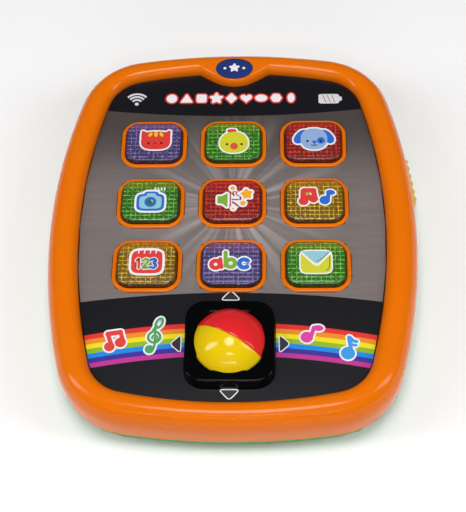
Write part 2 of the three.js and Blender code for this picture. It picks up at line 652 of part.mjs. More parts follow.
function screw(name, x, y, seat, length, radius = 1.3, head = 2.7, height = 1.6) {
  const profile = [
    [0, seat - height], [head - 0.6, seat - height], [head, seat], [radius, seat],
    [radius, seat + length - 1], [0, seat + length],
  ];
  return part(name, revolve(profile, x, y, 6), finish(COLOURS.steel, 0.3, 1));
}

function batteryCell(name, y, towards) {
  const profile = [[0, 0], [CELL.radius, 0], [CELL.radius, CELL.length], [CELL.nubRadius, CELL.length],
    [CELL.nubRadius, CELL.length + CELL.nub], [0, CELL.length + CELL.nub]];
  const geometry = revolve(profile, 0, 0, 12).rotateY(Math.PI / 2).translate(-CELL.start, 0, 0);
  if (towards < 0) geometry.rotateZ(Math.PI);
  return part(name, geometry.translate(0, y, CELL.z), finish(COLOURS.black, 0.3, 0.4));
}

// A conical coil from the plate to the cell's flat end, along +X from x.
function contactSpring(x, y, towards) {
  const turns = 2.5;
  const points = Array.from({ length: 21 }, (_, i) => {
    const share = i / 20;
    const angle = share * turns * 2 * Math.PI;
    const radius = 4.6 - 1.8 * share;
    const reach = towards * (0.1 + 4.2 * share);
    return [x + reach, y + radius * Math.cos(angle), CELL.z + radius * Math.sin(angle)];
  });
  return wire(points, 0.4, 16, 4);
}

const CONTACT_X = BAY.halfWidth - 0.3;
const contactPlate = (y0, y1, side) => {
  const outer = side * CONTACT_X;
  const inner = side * (CONTACT_X - 0.5);
  return box(Math.min(outer, inner), Math.max(outer, inner), y0, y1, 4, 16.6);
};
const contactNub = (y, side) => {
  const nub = revolve([[0, 0], [3.2, 0], [1.8, 2.6], [0, 2.6]], 0, 0, 8);
  return nub.rotateY((-side * Math.PI) / 2).translate(side * (CONTACT_X - 0.2), y, CELL.z);
};
const contactTail = (y) =>
  box(-BAY.halfWidth - BAY.wall - 1.6, -CONTACT_X + 0.2, y - 1.5, y + 1.5, 14.2, 14.8);

function contacts() {
  const metal = finish(COLOURS.steel, 0.25, 1);
  const [low, high] = CELL_Y;
  const springX = CONTACT_X - 0.4;
  const bridge = [contactPlate(low - 5, high + 5, 1), contactNub(low, 1), contactSpring(springX, high, -1)];
  const negative = [contactPlate(low - 5, low + 5, -1), contactSpring(-springX, low, 1), contactTail(low)];
  const positive = [contactPlate(high - 5, high + 5, -1), contactNub(high, -1), contactTail(high)];
  return [
    part("contact_bridge", carve(bridge), metal),
    part("contact_negative", carve(negative), metal),
    part("contact_positive", carve(positive), metal),
  ];
}

// Insulated leads from the tails and the speaker up to the board.
function leads() {
  const from = -BAY.halfWidth - BAY.wall - 2.6;
  const up = BOARD.under - GAP;
  const route = (y) => [
    [from, y, 14.5],
    [from - 3, y, 14.6],
    [from - 6, y + 2, 16],
    [from - 8, y + 4, up - 2],
    [from - 8, y + 4, up],
  ];
  const speakerRoute = [
    [11, SPEAKER.y, 11],
    [15, SPEAKER.y + 1, 11.4],
    [21, SPEAKER.y + 4, 13],
    [27, SPEAKER.y + 6, up - 3],
    [27, SPEAKER.y + 6, up],
  ];
  return [
    part("battery_lead_black", wire(route(CELL_Y[0]), 0.7, 6, 5), finish(COLOURS.black, 0.5)),
    part("battery_lead_red", wire(route(CELL_Y[1]), 0.7, 6, 5), finish(COLOURS.signalRed, 0.5)),
    part("speaker_lead", wire(speakerRoute, 0.9, 6, 5), finish(COLOURS.white, 0.5)),
  ];
}

// ---------------------------------------------------------------- assembly

const tablet = new THREE.Group();
tablet.add(frontShell(), rearShell(), faceplate(), badge(), keyMembrane());
KEYS.forEach(({ name, colour, pads }, i) => {
  const [x, y] = keyPlaces[i];
  tablet.add(keyCap(x, y, name, colour), keyLabel(x, y, name, pads));
});
tablet.add(ballBezel(), ballCradle(), ballCore(), ball());
tablet.add(roller("scroll_roller", 0), roller("side_roller", -Math.PI / 2));
tablet.add(mainBoard(), speaker(), speakerRing(), switchKnob(), slideSwitch(), switchStem());
tablet.add(batteryDoor(), screw("battery_door_screw", 0, DOOR.screwY, 1.3, 4, 1.3, 2.6, 1));
tablet.add(batteryCell("battery_a", CELL_Y[0], 1), batteryCell("battery_b", CELL_Y[1], -1));
tablet.add(...contacts(), ...leads());
CASE_SCREWS.forEach(([x, y], i) => tablet.add(screw(`case_screw_${i + 1}`, x, y, 9.2, 17)));
BOARD_POSTS.forEach(([x, y], i) =>
  tablet.add(screw(`board_screw_${i + 1}`, x, y, BOARD.under - 0.2, 5, 1.1, 2.6)),
);
[1, -1].forEach((side, i) => {
  const offset = side * BEZEL_POST.offset;
  tablet.add(screw(`cradle_screw_${i + 1}`, offset, BALL.y + offset, CRADLE.under - 0.2, 6, 1.1, 2.4));
});

export default tablet;
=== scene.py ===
import math

import bpy
import numpy as np
from mathutils import Matrix, Vector


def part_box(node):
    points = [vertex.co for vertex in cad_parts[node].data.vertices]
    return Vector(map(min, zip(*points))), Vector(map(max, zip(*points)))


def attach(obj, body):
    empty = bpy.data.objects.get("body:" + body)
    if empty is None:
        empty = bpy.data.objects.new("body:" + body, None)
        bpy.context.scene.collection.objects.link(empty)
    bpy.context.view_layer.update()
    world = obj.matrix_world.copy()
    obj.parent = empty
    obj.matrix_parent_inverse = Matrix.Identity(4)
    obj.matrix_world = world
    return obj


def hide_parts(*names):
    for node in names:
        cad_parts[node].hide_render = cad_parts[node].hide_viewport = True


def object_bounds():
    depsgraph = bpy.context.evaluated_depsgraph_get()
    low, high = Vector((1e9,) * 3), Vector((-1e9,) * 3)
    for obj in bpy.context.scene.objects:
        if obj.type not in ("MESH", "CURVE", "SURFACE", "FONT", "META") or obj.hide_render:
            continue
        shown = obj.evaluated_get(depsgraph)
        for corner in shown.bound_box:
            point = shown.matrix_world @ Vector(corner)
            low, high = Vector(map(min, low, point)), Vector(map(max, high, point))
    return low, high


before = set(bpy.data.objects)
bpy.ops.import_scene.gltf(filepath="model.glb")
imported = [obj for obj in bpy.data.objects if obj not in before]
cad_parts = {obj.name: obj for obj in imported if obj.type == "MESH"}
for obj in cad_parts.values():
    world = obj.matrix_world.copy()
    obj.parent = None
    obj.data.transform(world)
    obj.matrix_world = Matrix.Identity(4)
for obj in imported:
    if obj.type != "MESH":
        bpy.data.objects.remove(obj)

CAD_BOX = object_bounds()

# Lengths are in millimetres until a mesh is made. +X is to the right of the child who holds the
# tablet, +Y towards the badge, +Z out of the printed face.
MM = 0.001


def node_box(node):
    """Lowest and highest corner of a CAD node, in millimetres."""
    low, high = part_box(node)
    return np.array(low) / MM, np.array(high) / MM


# ---------------------------------------------------------------- sizes

FRONT_LOW, FRONT_HIGH = node_box("front_shell")
PANEL_LOW, PANEL_HIGH = node_box("faceplate")
BEZEL_LOW, BEZEL_HIGH = node_box("ball_bezel")
BADGE_LOW, BADGE_HIGH = node_box("badge")
CORE_LOW, CORE_HIGH = node_box("ball_core")

CASE = dict(half_width=FRONT_HIGH[0], half_length=FRONT_HIGH[1], side=280, end=340, corner=37)
SCREEN = dict(half_width=74, half_length=92.3, side=280, end=240, corner=20)
LOBE = dict(radius=20, centre_y=103.8, blend=5)  # the rim's bulge round the badge

SEAM_Z = FRONT_LOW[2]
RIM_Z = FRONT_HIGH[2]
FACE_Z = PANEL_HIGH[2]
PANEL_TOP = PANEL_LOW[2]
RIM_CREST = 0.62  # share of the rim's width, from outside, where its top lies
RIM_FULLNESS = 2.4  # exponent of its section: 2 is round, more is squarer
SKIRT = 4  # how far the rim's thin lower lip hangs over the rear shell
KNOB_Y = 34  # middle of the volume knob
KNOB_CLEAR, KNOB_RAMP = 20, 5  # the skirt is away this far on each side, and comes back over the ramp

KEY_TOP = node_box("key_sound")[1][2]
KEY_PLAN = dict(width=28.8, length=23.8, radius=6.4)
COLLAR = dict(width=33, length=28, radius=8, top=FACE_Z + 0.7)
KEY_MIDDLE_Y = 12.2  # middle row of keys
KEY_PITCH_Y = 35
PRISM_PITCH = 2.28  # between the small pyramids under a cap

BALL_CENTRE = (CORE_LOW + CORE_HIGH) / 2
BALL_RADIUS = CAD_BOX[1][2] / MM - BALL_CENTRE[2]
BALL_POLE = np.array([0.48, 0.88, 0.03])  # middle of the red half
SOCKET_RADIUS = 19.45
BALL_WALL = 2.4
BEZEL_SIZE = BEZEL_HIGH[0] - BEZEL_LOW[0]
BEZEL_TOP = BEZEL_HIGH[2]

PRINT = 0.05  # thickness of one printed or die-cut layer


# ---------------------------------------------------------------- outlines, as arrays of x, y


def arc(centre, radius, start, end, count):
    """Points on a circle from one angle up to, but not at, another."""
    angle = np.linspace(start, end, count, endpoint=False)
    return np.stack([centre[0] + radius * np.cos(angle), centre[1] + radius * np.sin(angle)], 1)


def barrel(shape, inset=0.0, counts=(16, 20, 40)):
    """Rounded rectangle with bowed sides: in each quarter a side arc, a corner arc that touches it
    from inside, and an end arc that the corner arc also touches. An inset shortens every radius."""
    side_radius = shape["side"] - inset
    end_radius = shape["end"] - inset
    corner_radius = max(shape["corner"] - inset, 2)
    side = np.array([shape["half_width"] - inset - side_radius, 0.0])
    end = np.array([0.0, shape["half_length"] - inset - end_radius])
    apart = np.linalg.norm(end - side)
    to_side = side_radius - corner_radius
    to_end = end_radius - corner_radius
    along = (to_side**2 - to_end**2 + apart**2) / (2 * apart)
    across = math.sqrt(to_side**2 - along**2)
    unit = (end - side) / apart
    corner = side + along * unit + across * np.array([-unit[1], unit[0]])
    side_angle = math.atan2(*(corner - side)[::-1])
    end_angle = math.atan2(*(corner - end)[::-1])
    quarter = np.concatenate(
        [
            arc(side, side_radius, 0, side_angle, counts[0]),
            arc(corner, corner_radius, side_angle, end_angle, counts[1]),
            arc(end, end_radius, end_angle, math.pi / 2, counts[2]),
            [[0.0, shape["half_length"] - inset]],
        ]
    )
    half = np.concatenate([quarter, (quarter * [-1, 1])[-2::-1]])
    return np.concatenate([half, (half * [1, -1])[-2:0:-1]])


def screen_edge(inset=0.0, counts=(16, 20, 40)):
    """The screen's barrel, with its top edge eased round the lobe under the badge by a smooth
    minimum of the two curves."""
    outline = barrel(SCREEN, inset, counts)
    radius = LOBE["radius"] + inset
    x, y = outline[:, 0], outline[:, 1]
    near = (y > 0) & (np.abs(x) < radius)
    lobe = LOBE["centre_y"] - np.sqrt(np.maximum(radius**2 - x**2, 0))
    mix = np.clip(0.5 + (lobe - y) / (2 * LOBE["blend"]), 0, 1)
    eased = lobe + (y - lobe) * mix - LOBE["blend"] * mix * (1 - mix)
    outline[:, 1] = np.where(near, eased, y)
    return outline


def rounded_rect(width, length, radius, steps=8):
    """Rectangle with quarter-circle corners, anticlockwise from the right-hand side."""
    angle = np.linspace(0, math.pi / 2, steps + 1)
    turns = angle[None, :] + (math.pi / 2) * np.arange(4)[:, None]
    centre_x = (width / 2 - radius) * np.array([1, -1, -1, 1])
    centre_y = (length / 2 - radius) * np.array([1, 1, -1, -1])
    x = centre_x[:, None] + radius * np.cos(turns)
    y = centre_y[:, None] + radius * np.sin(turns)
    return np.stack([x, y], 2).reshape(-1, 2)


def oval(width, length, power=2.0, count=48):
    """Superellipse: cosine and sine raised to 2 / power, with their signs kept."""
    angle = np.linspace(0, 2 * math.pi, count, endpoint=False)
    x = np.sign(np.cos(angle)) * np.abs(np.cos(angle)) ** (2 / power)
    y = np.sign(np.sin(angle)) * np.abs(np.sin(angle)) ** (2 / power)
    return np.stack([x * width / 2, y * length / 2], 1)


def star(radius, waist=0.62, count=80):
    """Five soft points: the radius swings with a cosine of five times the angle."""
    angle = np.linspace(0, 2 * math.pi, count, endpoint=False)
    swing = (0.5 + 0.5 * np.cos(5 * (angle - math.pi / 2))) ** 1.4
    reach = radius * (waist + (1 - waist) * swing)
    return np.stack([reach * np.cos(angle), reach * np.sin(angle)], 1)


def polygon(corners, round_by=0.6, steps=5):
    """Convex polygon, anticlockwise, each corner replaced by a quadratic Bezier curve."""
    corners = np.array(corners, float)
    before = np.roll(corners, 1, 0) - corners
    after = np.roll(corners, -1, 0) - corners
    start = corners + round_by * before / np.linalg.norm(before, axis=1)[:, None]
    end = corners + round_by * after / np.linalg.norm(after, axis=1)[:, None]
    t = np.linspace(0, 1, steps)[None, :, None]
    curve = (1 - t) ** 2 * start[:, None] + 2 * t * (1 - t) * corners[:, None] + t**2 * end[:, None]
    return curve.reshape(-1, 2)


def placed(outline, x=0.0, y=0.0, turn=0.0):
    """The outline turned anticlockwise by some degrees, then moved."""
    c, s = math.cos(math.radians(turn)), math.sin(math.radians(turn))
    return outline @ np.array([[c, s], [-s, c]]) + [x, y]


def grown(outline, by):
    """Each point moved outwards along the curve's normal."""
    along = np.roll(outline, -1, 0) - np.roll(outline, 1, 0)
    normal = np.stack([along[:, 1], -along[:, 0]], 1)
    return outline + by * normal / np.maximum(np.linalg.norm(normal, axis=1), 1e-9)[:, None]


def spline(points, steps=8):
    """Catmull-Rom curve through the points, evaluated for all its spans at once."""
    p = np.array(points, float)
    p = np.concatenate([[2 * p[0] - p[1]], p, [2 * p[-1] - p[-2]]])
    t = np.linspace(0, 1, steps, endpoint=False)[None, :, None]
    a, b, c, d = (p[i : len(p) - 3 + i, None, :] for i in range(4))
    curve = b + 0.5 * t * (c - a + t * (2 * a - 5 * b + 4 * c - d + t * (3 * (b - c) + d - a)))
    return np.concatenate([curve.reshape(-1, p.shape[1]), p[-2:-1]])


# ---------------------------------------------------------------- meshes


def tube_faces(rows, columns, first=0):
    """Quads between successive rows of a surface that closes on itself across its columns."""
    i = np.arange(rows - 1)[:, None] * columns
    j = np.arange(columns)[None, :]
    k = (j + 1) % columns
    return np.stack([i + j, i + k, i + columns + k, i + columns + j], 2).reshape(-1, 4) + first


def fan_faces(ring, centre, flip):
    """Triangles from a ring of vertices to one in its middle."""
    after = np.roll(ring, -1)
    middle = np.full(len(ring), centre)
    return np.stack([after, ring, middle] if flip else [ring, after, middle], 1)


def closed(points):
    """A solid from a grid of points, rows by columns by 3: its columns close on themselves, and a
    fan closes the first row and the last."""
    rows, columns = points.shape[:2]
    flat = points.reshape(-1, 3)
    vertices = np.concatenate([flat, [points[0].mean(0)], [points[-1].mean(0)]])
    ring = np.arange(columns)
    last = (rows - 1) * columns
    faces = tube_faces(rows, columns).tolist()
    faces += fan_faces(ring, rows * columns, True).tolist()
    faces += fan_faces(ring + last, rows * columns + 1, False).tolist()
    return vertices, faces


def looped(points):
    """A ring-shaped solid: the grid closes on itself both ways."""
    rows, columns = points.shape[:2]
    wrapped = np.concatenate([points, points[:1]])
    faces = tube_faces(rows + 1, columns) % (rows * columns)
    return wrapped[:rows].reshape(-1, 3), faces.tolist()


def levels(sections):
    """Stacks (outline, z) pairs of equal point counts into a grid of points."""
    return np.stack([np.column_stack([outline, np.full(len(outline), z)]) for outline, z in sections])


def sheet_of(outline, low, high):
    """A thin flat piece of that outline, which is star-shaped about its middle."""
    return closed(levels([(outline, low), (outline, high)]))


def stroke(path, width, low, high):
    """A thin flat band along a path. Where the path ends away from its start, the half width falls
    to nothing over the last half width as a circle does, which rounds the ends off."""
    path = np.array(path, float)
    half = width / 2
    ends_meet = np.allclose(path[0], path[-1])
    if ends_meet:
        line = path[:-1]
        along = np.roll(line, -1, 0) - np.roll(line, 1, 0)
        reach = half
    else:
        start = path[0] - half * (path[1] - path[0]) / np.linalg.norm(path[1] - path[0])
        end = path[-1] + half * (path[-1] - path[-2]) / np.linalg.norm(path[-1] - path[-2])
        bend = (1 - np.cos(np.linspace(0, math.pi / 2, 6)))[:-1, None]
        lead = start + bend * (path[0] - start)
        tail = end + bend[::-1] * (path[-1] - end)
        line = np.concatenate([lead, path, tail])
        along = np.gradient(line, axis=0)
        step = np.linalg.norm(np.diff(line, axis=0), axis=1)
        run = np.concatenate([[0], np.cumsum(step)])
        near = np.minimum(run, run[-1] - run)
        reach = np.sqrt(np.maximum(half**2 - np.maximum(half - near, 0) ** 2, 1e-4))[:, None]
    along /= np.maximum(np.linalg.norm(along, axis=1), 1e-9)[:, None]
    normal = np.stack([-along[:, 1], along[:, 0]], 1)
    left, right = line + normal * reach, line - normal * reach
    low_z, high_z = np.full(len(line), low), np.full(len(line), high)
    grid = [(left, low_z), (left, high_z), (right, high_z), (right, low_z)]
    points = np.stack([np.column_stack([xy, z]) for xy, z in grid], 1)
    return looped(points) if ends_meet else closed(points)


def piece(name, solids, materials, body, stands_for=()):
    """Joins solids, each (vertices, faces) or (vertices, faces, material number), into one object."""
    vertices, faces, slots, first = [], [], [], 0
    for solid in solids:
        points, polygons = solid[:2]
        vertices.append(points)
        faces += [[i + first for i in polygon] for polygon in polygons]
        slots += [solid[2] if len(solid) > 2 else 0] * len(polygons)
        first += len(points)
    mesh = bpy.data.meshes.new(name)
    mesh.from_pydata(np.concatenate(vertices) * MM, [], faces)
    for material in materials:
        mesh.materials.append(material)
    mesh.polygons.foreach_set("material_index", slots)
    mesh.shade_smooth()
    mesh.set_sharp_from_angle(angle=math.radians(38))
    mesh.update()
    obj = bpy.data.objects.new(name, mesh)
    bpy.context.scene.collection.objects.link(obj)
    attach(obj, body)
    if stands_for:
        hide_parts(*stands_for)
    return obj


# ---------------------------------------------------------------- materials


def colour(code):
    """sRGB hex to linear, by the standard's curve, and opaque."""
    srgb = [int(code[i : i + 2], 16) / 255 for i in (0, 2, 4)]
    return [c / 12.92 if c <= 0.04045 else ((c + 0.055) / 1.055) ** 2.4 for c in srgb] + [1.0]


def add(tree, kind, inputs=(), **settings):
    """Adds a shader node of that kind, gives it its settings, and sets or links its inputs."""
    node = tree.nodes.new("ShaderNode" + kind)
    for key, value in settings.items():
        setattr(node, key, value)
    for key, value in dict(inputs).items():
        if isinstance(value, bpy.types.NodeSocket):
            tree.links.new(value, node.inputs[key])
        else:
            node.inputs[key].default_value = value
    return node


def new_material(name, **sockets):
    """A material with a Principled shader whose sockets are set by name."""
    material = bpy.data.materials.new(name)
    material.use_nodes = True
    shader = material.node_tree.nodes["Principled BSDF"]
    for key, value in sockets.items():
        shader.inputs[key.replace("_", " ").title().replace("Ior", "IOR")].default_value = value
    return material, material.node_tree, shader


def millimetres(tree, scale=1.0):
    """The surface's own coordinates, in units of so many millimetres."""
    source = add(tree, "TexCoord").outputs["Object"]
    per_unit = [1 / (scale * MM)] * 3
    return add(tree, "VectorMath", {0: source, 1: per_unit}, operation="MULTIPLY").outputs[0]


def moulded(name, code, roughness, grain=1.2, depth=0.004, ior=1.53, level=0.5):
    """Injection-moulded plastic: one colour with faint flow clouds a few centimetres wide, and the
    slight waviness that a polished mould leaves, which makes reflections of lamps break up."""
    material, tree, shader = new_material(name, roughness=roughness, ior=ior, specular_ior_level=level)
    clouds = add(tree, "TexNoise", {"Vector": millimetres(tree), "Scale": 1 / 30, "Detail": 2.0})
    dark = [c * 0.93 for c in colour(code)[:3]] + [1.0]
    ramp = add(tree, "Mix", {"Factor": clouds.outputs[0], 6: dark, 7: colour(code)}, data_type="RGBA")
    tree.links.new(ramp.outputs[2], shader.inputs["Base Color"])
    waves = add(tree, "TexNoise", {"Vector": millimetres(tree), "Scale": 1 / grain, "Detail": 1.0})
    bump = add(tree, "Bump", {"Height": waves.outputs[0], "Distance": depth * MM, "Strength": 0.6})
    tree.links.new(bump.outputs[0], shader.inputs["Normal"])
    return material


def printed(name, code, roughness=0.4):
    """Screen-printed ink on film: even, slightly satin, with a fine tooth from the mesh."""
    return moulded(name, code, roughness, grain=0.3, depth=0.001, ior=1.5)


def plated(name, code, roughness=0.28):
    """Nickel or zinc plate on steel, bright with fine random scuffs."""
    material = moulded(name, code, roughness, grain=0.6, depth=0.002)
    material.node_tree.nodes["Principled BSDF"].inputs["Metallic"].default_value = 1.0
    return material


def prismatic(name, lit, deep, far_glow_colour):
    """Clear tinted styrene over rows of small moulded pyramids, and each pyramid's sides shade it four
    ways through a bump. Here and there the grooves between the pyramids carry painted glints of the
    lit colour, and the rows furthest from the user a painted warm glow; only the top face has these.
    The smooth side walls are painted dark as shade, with upright streaks."""
    material, tree, shader = new_material(name, roughness=0.28, coat_weight=0.2, coat_roughness=0.08)
    place = millimetres(tree)
    cells = add(tree, "VectorMath", {0: millimetres(tree, PRISM_PITCH), 1: [0.5, 0.37, 0]}, operation="ADD")
    cell = add(tree, "VectorMath", {0: cells.outputs[0]}, operation="FRACTION").outputs[0]
    centred = add(tree, "VectorMath", {0: cell, 1: [0.5] * 3}, operation="SUBTRACT").outputs[0]
    away = add(tree, "VectorMath", {0: centred}, operation="ABSOLUTE").outputs[0]
    axes = add(tree, "SeparateXYZ", {0: away})
    slope = add(tree, "Math", {0: axes.outputs[0], 1: axes.outputs[1]}, operation="MAXIMUM").outputs[0]
    bump = add(tree, "Bump", {"Height": slope, "Distance": 0.5 * MM, "Strength": 0.5})
    bump.invert = True
    rows = add(tree, "MapRange", {"Value": axes.outputs[1], "From Min": 0.34, "From Max": 0.48}).outputs[0]
    columns = add(tree, "MapRange", {"Value": axes.outputs[0], "From Min": 0.38, "From Max": 0.49}).outputs[0]
    grooves = add(tree, "Math", {0: rows, 1: columns}, operation="MAXIMUM").outputs[0]
    glitter = add(tree, "TexNoise", {"Vector": place, "Scale": 0.75, "Detail": 2.0}).outputs[0]
    sparkle = add(
        tree, "MapRange", {"Value": glitter, "From Min": 0.36, "From Max": 0.64, "To Max": 1.0}
    ).outputs[0]
    # painted highlights: glints of the lit colour along the grooves, wherever the noise is high
    painted_glints = add(tree, "Math", {0: grooves, 1: sparkle}, operation="MULTIPLY").outputs[0]

    up = add(tree, "SeparateXYZ", {0: place}).outputs[1]
    rows_up = {0: up, 1: 1 / KEY_PITCH_Y, 2: 0.5 - KEY_MIDDLE_Y / KEY_PITCH_Y}
    keys_up = add(tree, "Math", rows_up, operation="MULTIPLY_ADD").outputs[0]
    on_key = add(tree, "Math", {0: keys_up}, operation="FRACT").outputs[0]
    # painted glow: the rows furthest from the user take more of the warm colour
    far = add(
        tree, "MapRange", {"Value": on_key, "From Min": 0.64, "From Max": 0.78, "To Max": 0.85}
    ).outputs[0]
    # share of the lit colour on the top: a small base tint plus the painted far glow
    body = add(tree, "Math", {0: far, 1: 0.26, 2: 0.12}, operation="MULTIPLY_ADD").outputs[0]
    painted_light_share = add(tree, "Math", {0: painted_glints, 1: body}, operation="ADD").outputs[0]
    facing = add(tree, "SeparateXYZ", {0: add(tree, "NewGeometry").outputs["True Normal"]})
    # only faces that look up get the painted glints and glow
    top = add(
        tree, "MapRange", {"Value": facing.outputs[2], "From Min": 0.9, "From Max": 0.99}
    ).outputs[0]
    amount = add(tree, "Math", {0: painted_light_share, 1: top}, operation="MULTIPLY", use_clamp=True).outputs[0]
    upright = add(tree, "VectorMath", {0: place, 1: [0.9, 0.9, 0.05]}, operation="MULTIPLY").outputs[0]
    streak = add(tree, "TexNoise", {"Vector": upright, "Scale": 1.0, "Detail": 2.0}).outputs[0]
    # walls: painted shade, dark with upright streaks
    wall = add(
        tree, "MapRange", {"Value": streak, "From Min": 0.5, "From Max": 0.75, "To Min": 0.01, "To Max": 0.16}
    ).outputs[0]
    shade = add(tree, "Math", {0: amount, 1: wall}, operation="MAXIMUM").outputs[0]
    # the lit colour turns to the warm one of the painted glow on the far rows
    glow = add(tree, "Mix", {"Factor": far, 6: colour(lit), 7: colour(far_glow_colour)}, data_type="RGBA").outputs[2]
    tint = add(tree, "Mix", {"Factor": shade, 6: colour(deep), 7: glow}, data_type="RGBA").outputs[2]
    tree.links.new(tint, shader.inputs["Base Color"])
    tree.links.new(bump.outputs[0], shader.inputs["Normal"])
    return material


# Printed arcs: the height of the centre, and the radius.
HEADER_ARC = (64.9 + 557, 557)
FOOTER_ARC = (-37.1 - 511, 511)
RAINBOW_ARC = (-52.6 - 345, 345)
STRIPE = 2.38  # width of one rainbow stripe
RAINBOW = ["DC3230", "E28A28", "E8D81E", "8CB22C", "1C84DC", "3C3094", "B8358C"]
RAY_CENTRE = (0, 12.2)
NIGHT = "121218"


def face_print():
    """Gloss-coated printed sheet: black bands, a brushed grey field with rays of light from behind
    the middle key, and a rainbow. The grey field grows darker towards the top, partly as print and
    partly as a painted reflection that lightens its lower part. A band's edge is where the distance
    to its arc's centre passes the radius, softened over a third of a millimetre."""
    material, tree, shader = new_material("printed_overlay", roughness=0.3, ior=1.5, specular_ior_level=0.3)
    place = millimetres(tree)

    from_rays = add(tree, "VectorMath", {0: place, 1: (*RAY_CENTRE, FACE_Z)}, operation="SUBTRACT")
    flat = add(tree, "SeparateXYZ", {0: from_rays.outputs[0]})
    direction = add(tree, "VectorMath", {0: from_rays.outputs[0]}, operation="NORMALIZE").outputs[0]
    rays = add(tree, "TexNoise", {"Vector": direction, "Scale": 4.5, "Detail": 3.0, "Roughness": 0.55})
    beams = add(tree, "MapRange", {"Value": rays.outputs[0], "From Min": 0.44, "From Max": 0.72}).outputs[0]
    reach = add(tree, "VectorMath", {0: from_rays.outputs[0]}, operation="LENGTH").outputs["Value"]
    fade = add(
        tree, "MapRange", {"Value": reach, "From Min": 16.0, "From Max": 58.0, "To Min": 0.95, "To Max": 0.0}
    ).outputs[0]
    shine = add(tree, "Math", {0: beams, 1: fade}, operation="MULTIPLY").outputs[0]
    # darker towards the top: partly print, partly painted reflection that lightens the lower field
    print_and_reflection_fade = add(
        tree,
        "MapRange",
        {"Value": flat.outputs[1], "From Min": 2.0, "From Max": 50.0},
        interpolation_type="SMOOTHSTEP",
    ).outputs[0]
    grain = add(tree, "VectorMath", {0: place, 1: (0.04, 0.5, 1.0)}, operation="MULTIPLY").outputs[0]
    brushing = add(tree, "TexNoise", {"Vector": grain, "Scale": 1.0, "Detail": 3.0}).outputs[0]
    streaked = add(
        tree, "Mix", {"Factor": brushing, 6: colour("6C6462"), 7: colour("7E7573")}, data_type="RGBA"
    ).outputs[2]
    field = add(tree, "Mix", {"Factor": print_and_reflection_fade, 6: streaked, 7: colour("484240")}, data_type="RGBA").outputs[2]
    lit = add(tree, "Mix", {"Factor": shine, 6: field, 7: colour("B4ABA8")}, data_type="RGBA").outputs[2]

    masks, reaches = [], []
    rainbow_y, rainbow_top = RAINBOW_ARC
    rainbow_low = rainbow_top - len(RAINBOW) * STRIPE
    for centre_y, radius in (HEADER_ARC, FOOTER_ARC, RAINBOW_ARC, (rainbow_y, rainbow_low)):
        offset = add(tree, "VectorMath", {0: place, 1: (0, centre_y, FACE_Z)}, operation="SUBTRACT")
        length = add(tree, "VectorMath", {0: offset.outputs[0]}, operation="LENGTH").outputs["Value"]
        soft = {"From Min": radius - 0.15, "From Max": radius + 0.15, "To Min": 1.0, "To Max": 0.0}
        masks.append(add(tree, "MapRange", {"Value": length, **soft}).outputs[0])
        reaches.append(length)
    header, footer, above, below = masks
    bands = add(tree, "Math", {0: header, 1: footer}, operation="MAXIMUM").outputs[0]
    banded = add(tree, "Mix", {"Factor": bands, 6: lit, 7: colour(NIGHT)}, data_type="RGBA").outputs[2]
    share = add(
        tree, "MapRange", {"Value": reaches[2], "From Min": rainbow_top, "From Max": rainbow_low}
    ).outputs[0]
    ramp = add(tree, "ValToRGB", {0: share})
    ramp.color_ramp.interpolation = "CONSTANT"
    ramp.color_ramp.elements.remove(ramp.color_ramp.elements[1])
    ramp.color_ramp.elements[0].color = colour(RAINBOW[0])
    for number, code in enumerate(RAINBOW[1:], 1):
        ramp.color_ramp.elements.new(number / len(RAINBOW)).color = colour(code)
    band = add(tree, "Math", {0: above, 1: below}, operation="SUBTRACT").outputs[0]
    ink = add(tree, "Mix", {"Factor": band, 6: banded, 7: ramp.outputs[0]}, data_type="RGBA").outputs[2]
    tree.links.new(ink, shader.inputs["Base Color"])
    return material


ORANGE = moulded("gloss_orange_abs", "E57006", 0.15, grain=2.5, depth=0.006, level=0.15)
GREEN = moulded("semi_gloss_green_abs", "4F9426", 0.4, level=0.12)
BLACK = moulded("gloss_black_abs", "050607", 0.11, grain=3.0, depth=0.004, level=0.06)
SOOT = moulded("matt_black_abs", "17181B", 0.5)
BALL_RED = moulded("gloss_red_abs", "E0262A", 0.12, grain=4.0, level=0.3)
BALL_YELLOW = moulded("gloss_yellow_abs", "E4C208", 0.12, grain=4.0, level=0.3)
KNOB_YELLOW = moulded("yellow_pom", "E3BC12", 0.36)
NATURAL = moulded("natural_pom", "E6E5DF", 0.45)
NAVY = moulded("navy_enamel", "223572", 0.14)
SILICONE = moulded("translucent_silicone", "D3D3CE", 0.6)
BOARD = moulded("solder_mask", "1B6238", 0.35)
STEEL = plated("nickel_plate", "C3C4C6")
ZINC = plated("zinc_plate", "A6A8AB", 0.38)
CELL = moulded("cell_sleeve", "1B1C20", 0.3)
WIRE_RED = moulded("red_pvc", "B9201F", 0.4)
WIRE_BLACK = moulded("black_pvc", "1A1B1E", 0.4)
OVERLAY = face_print()
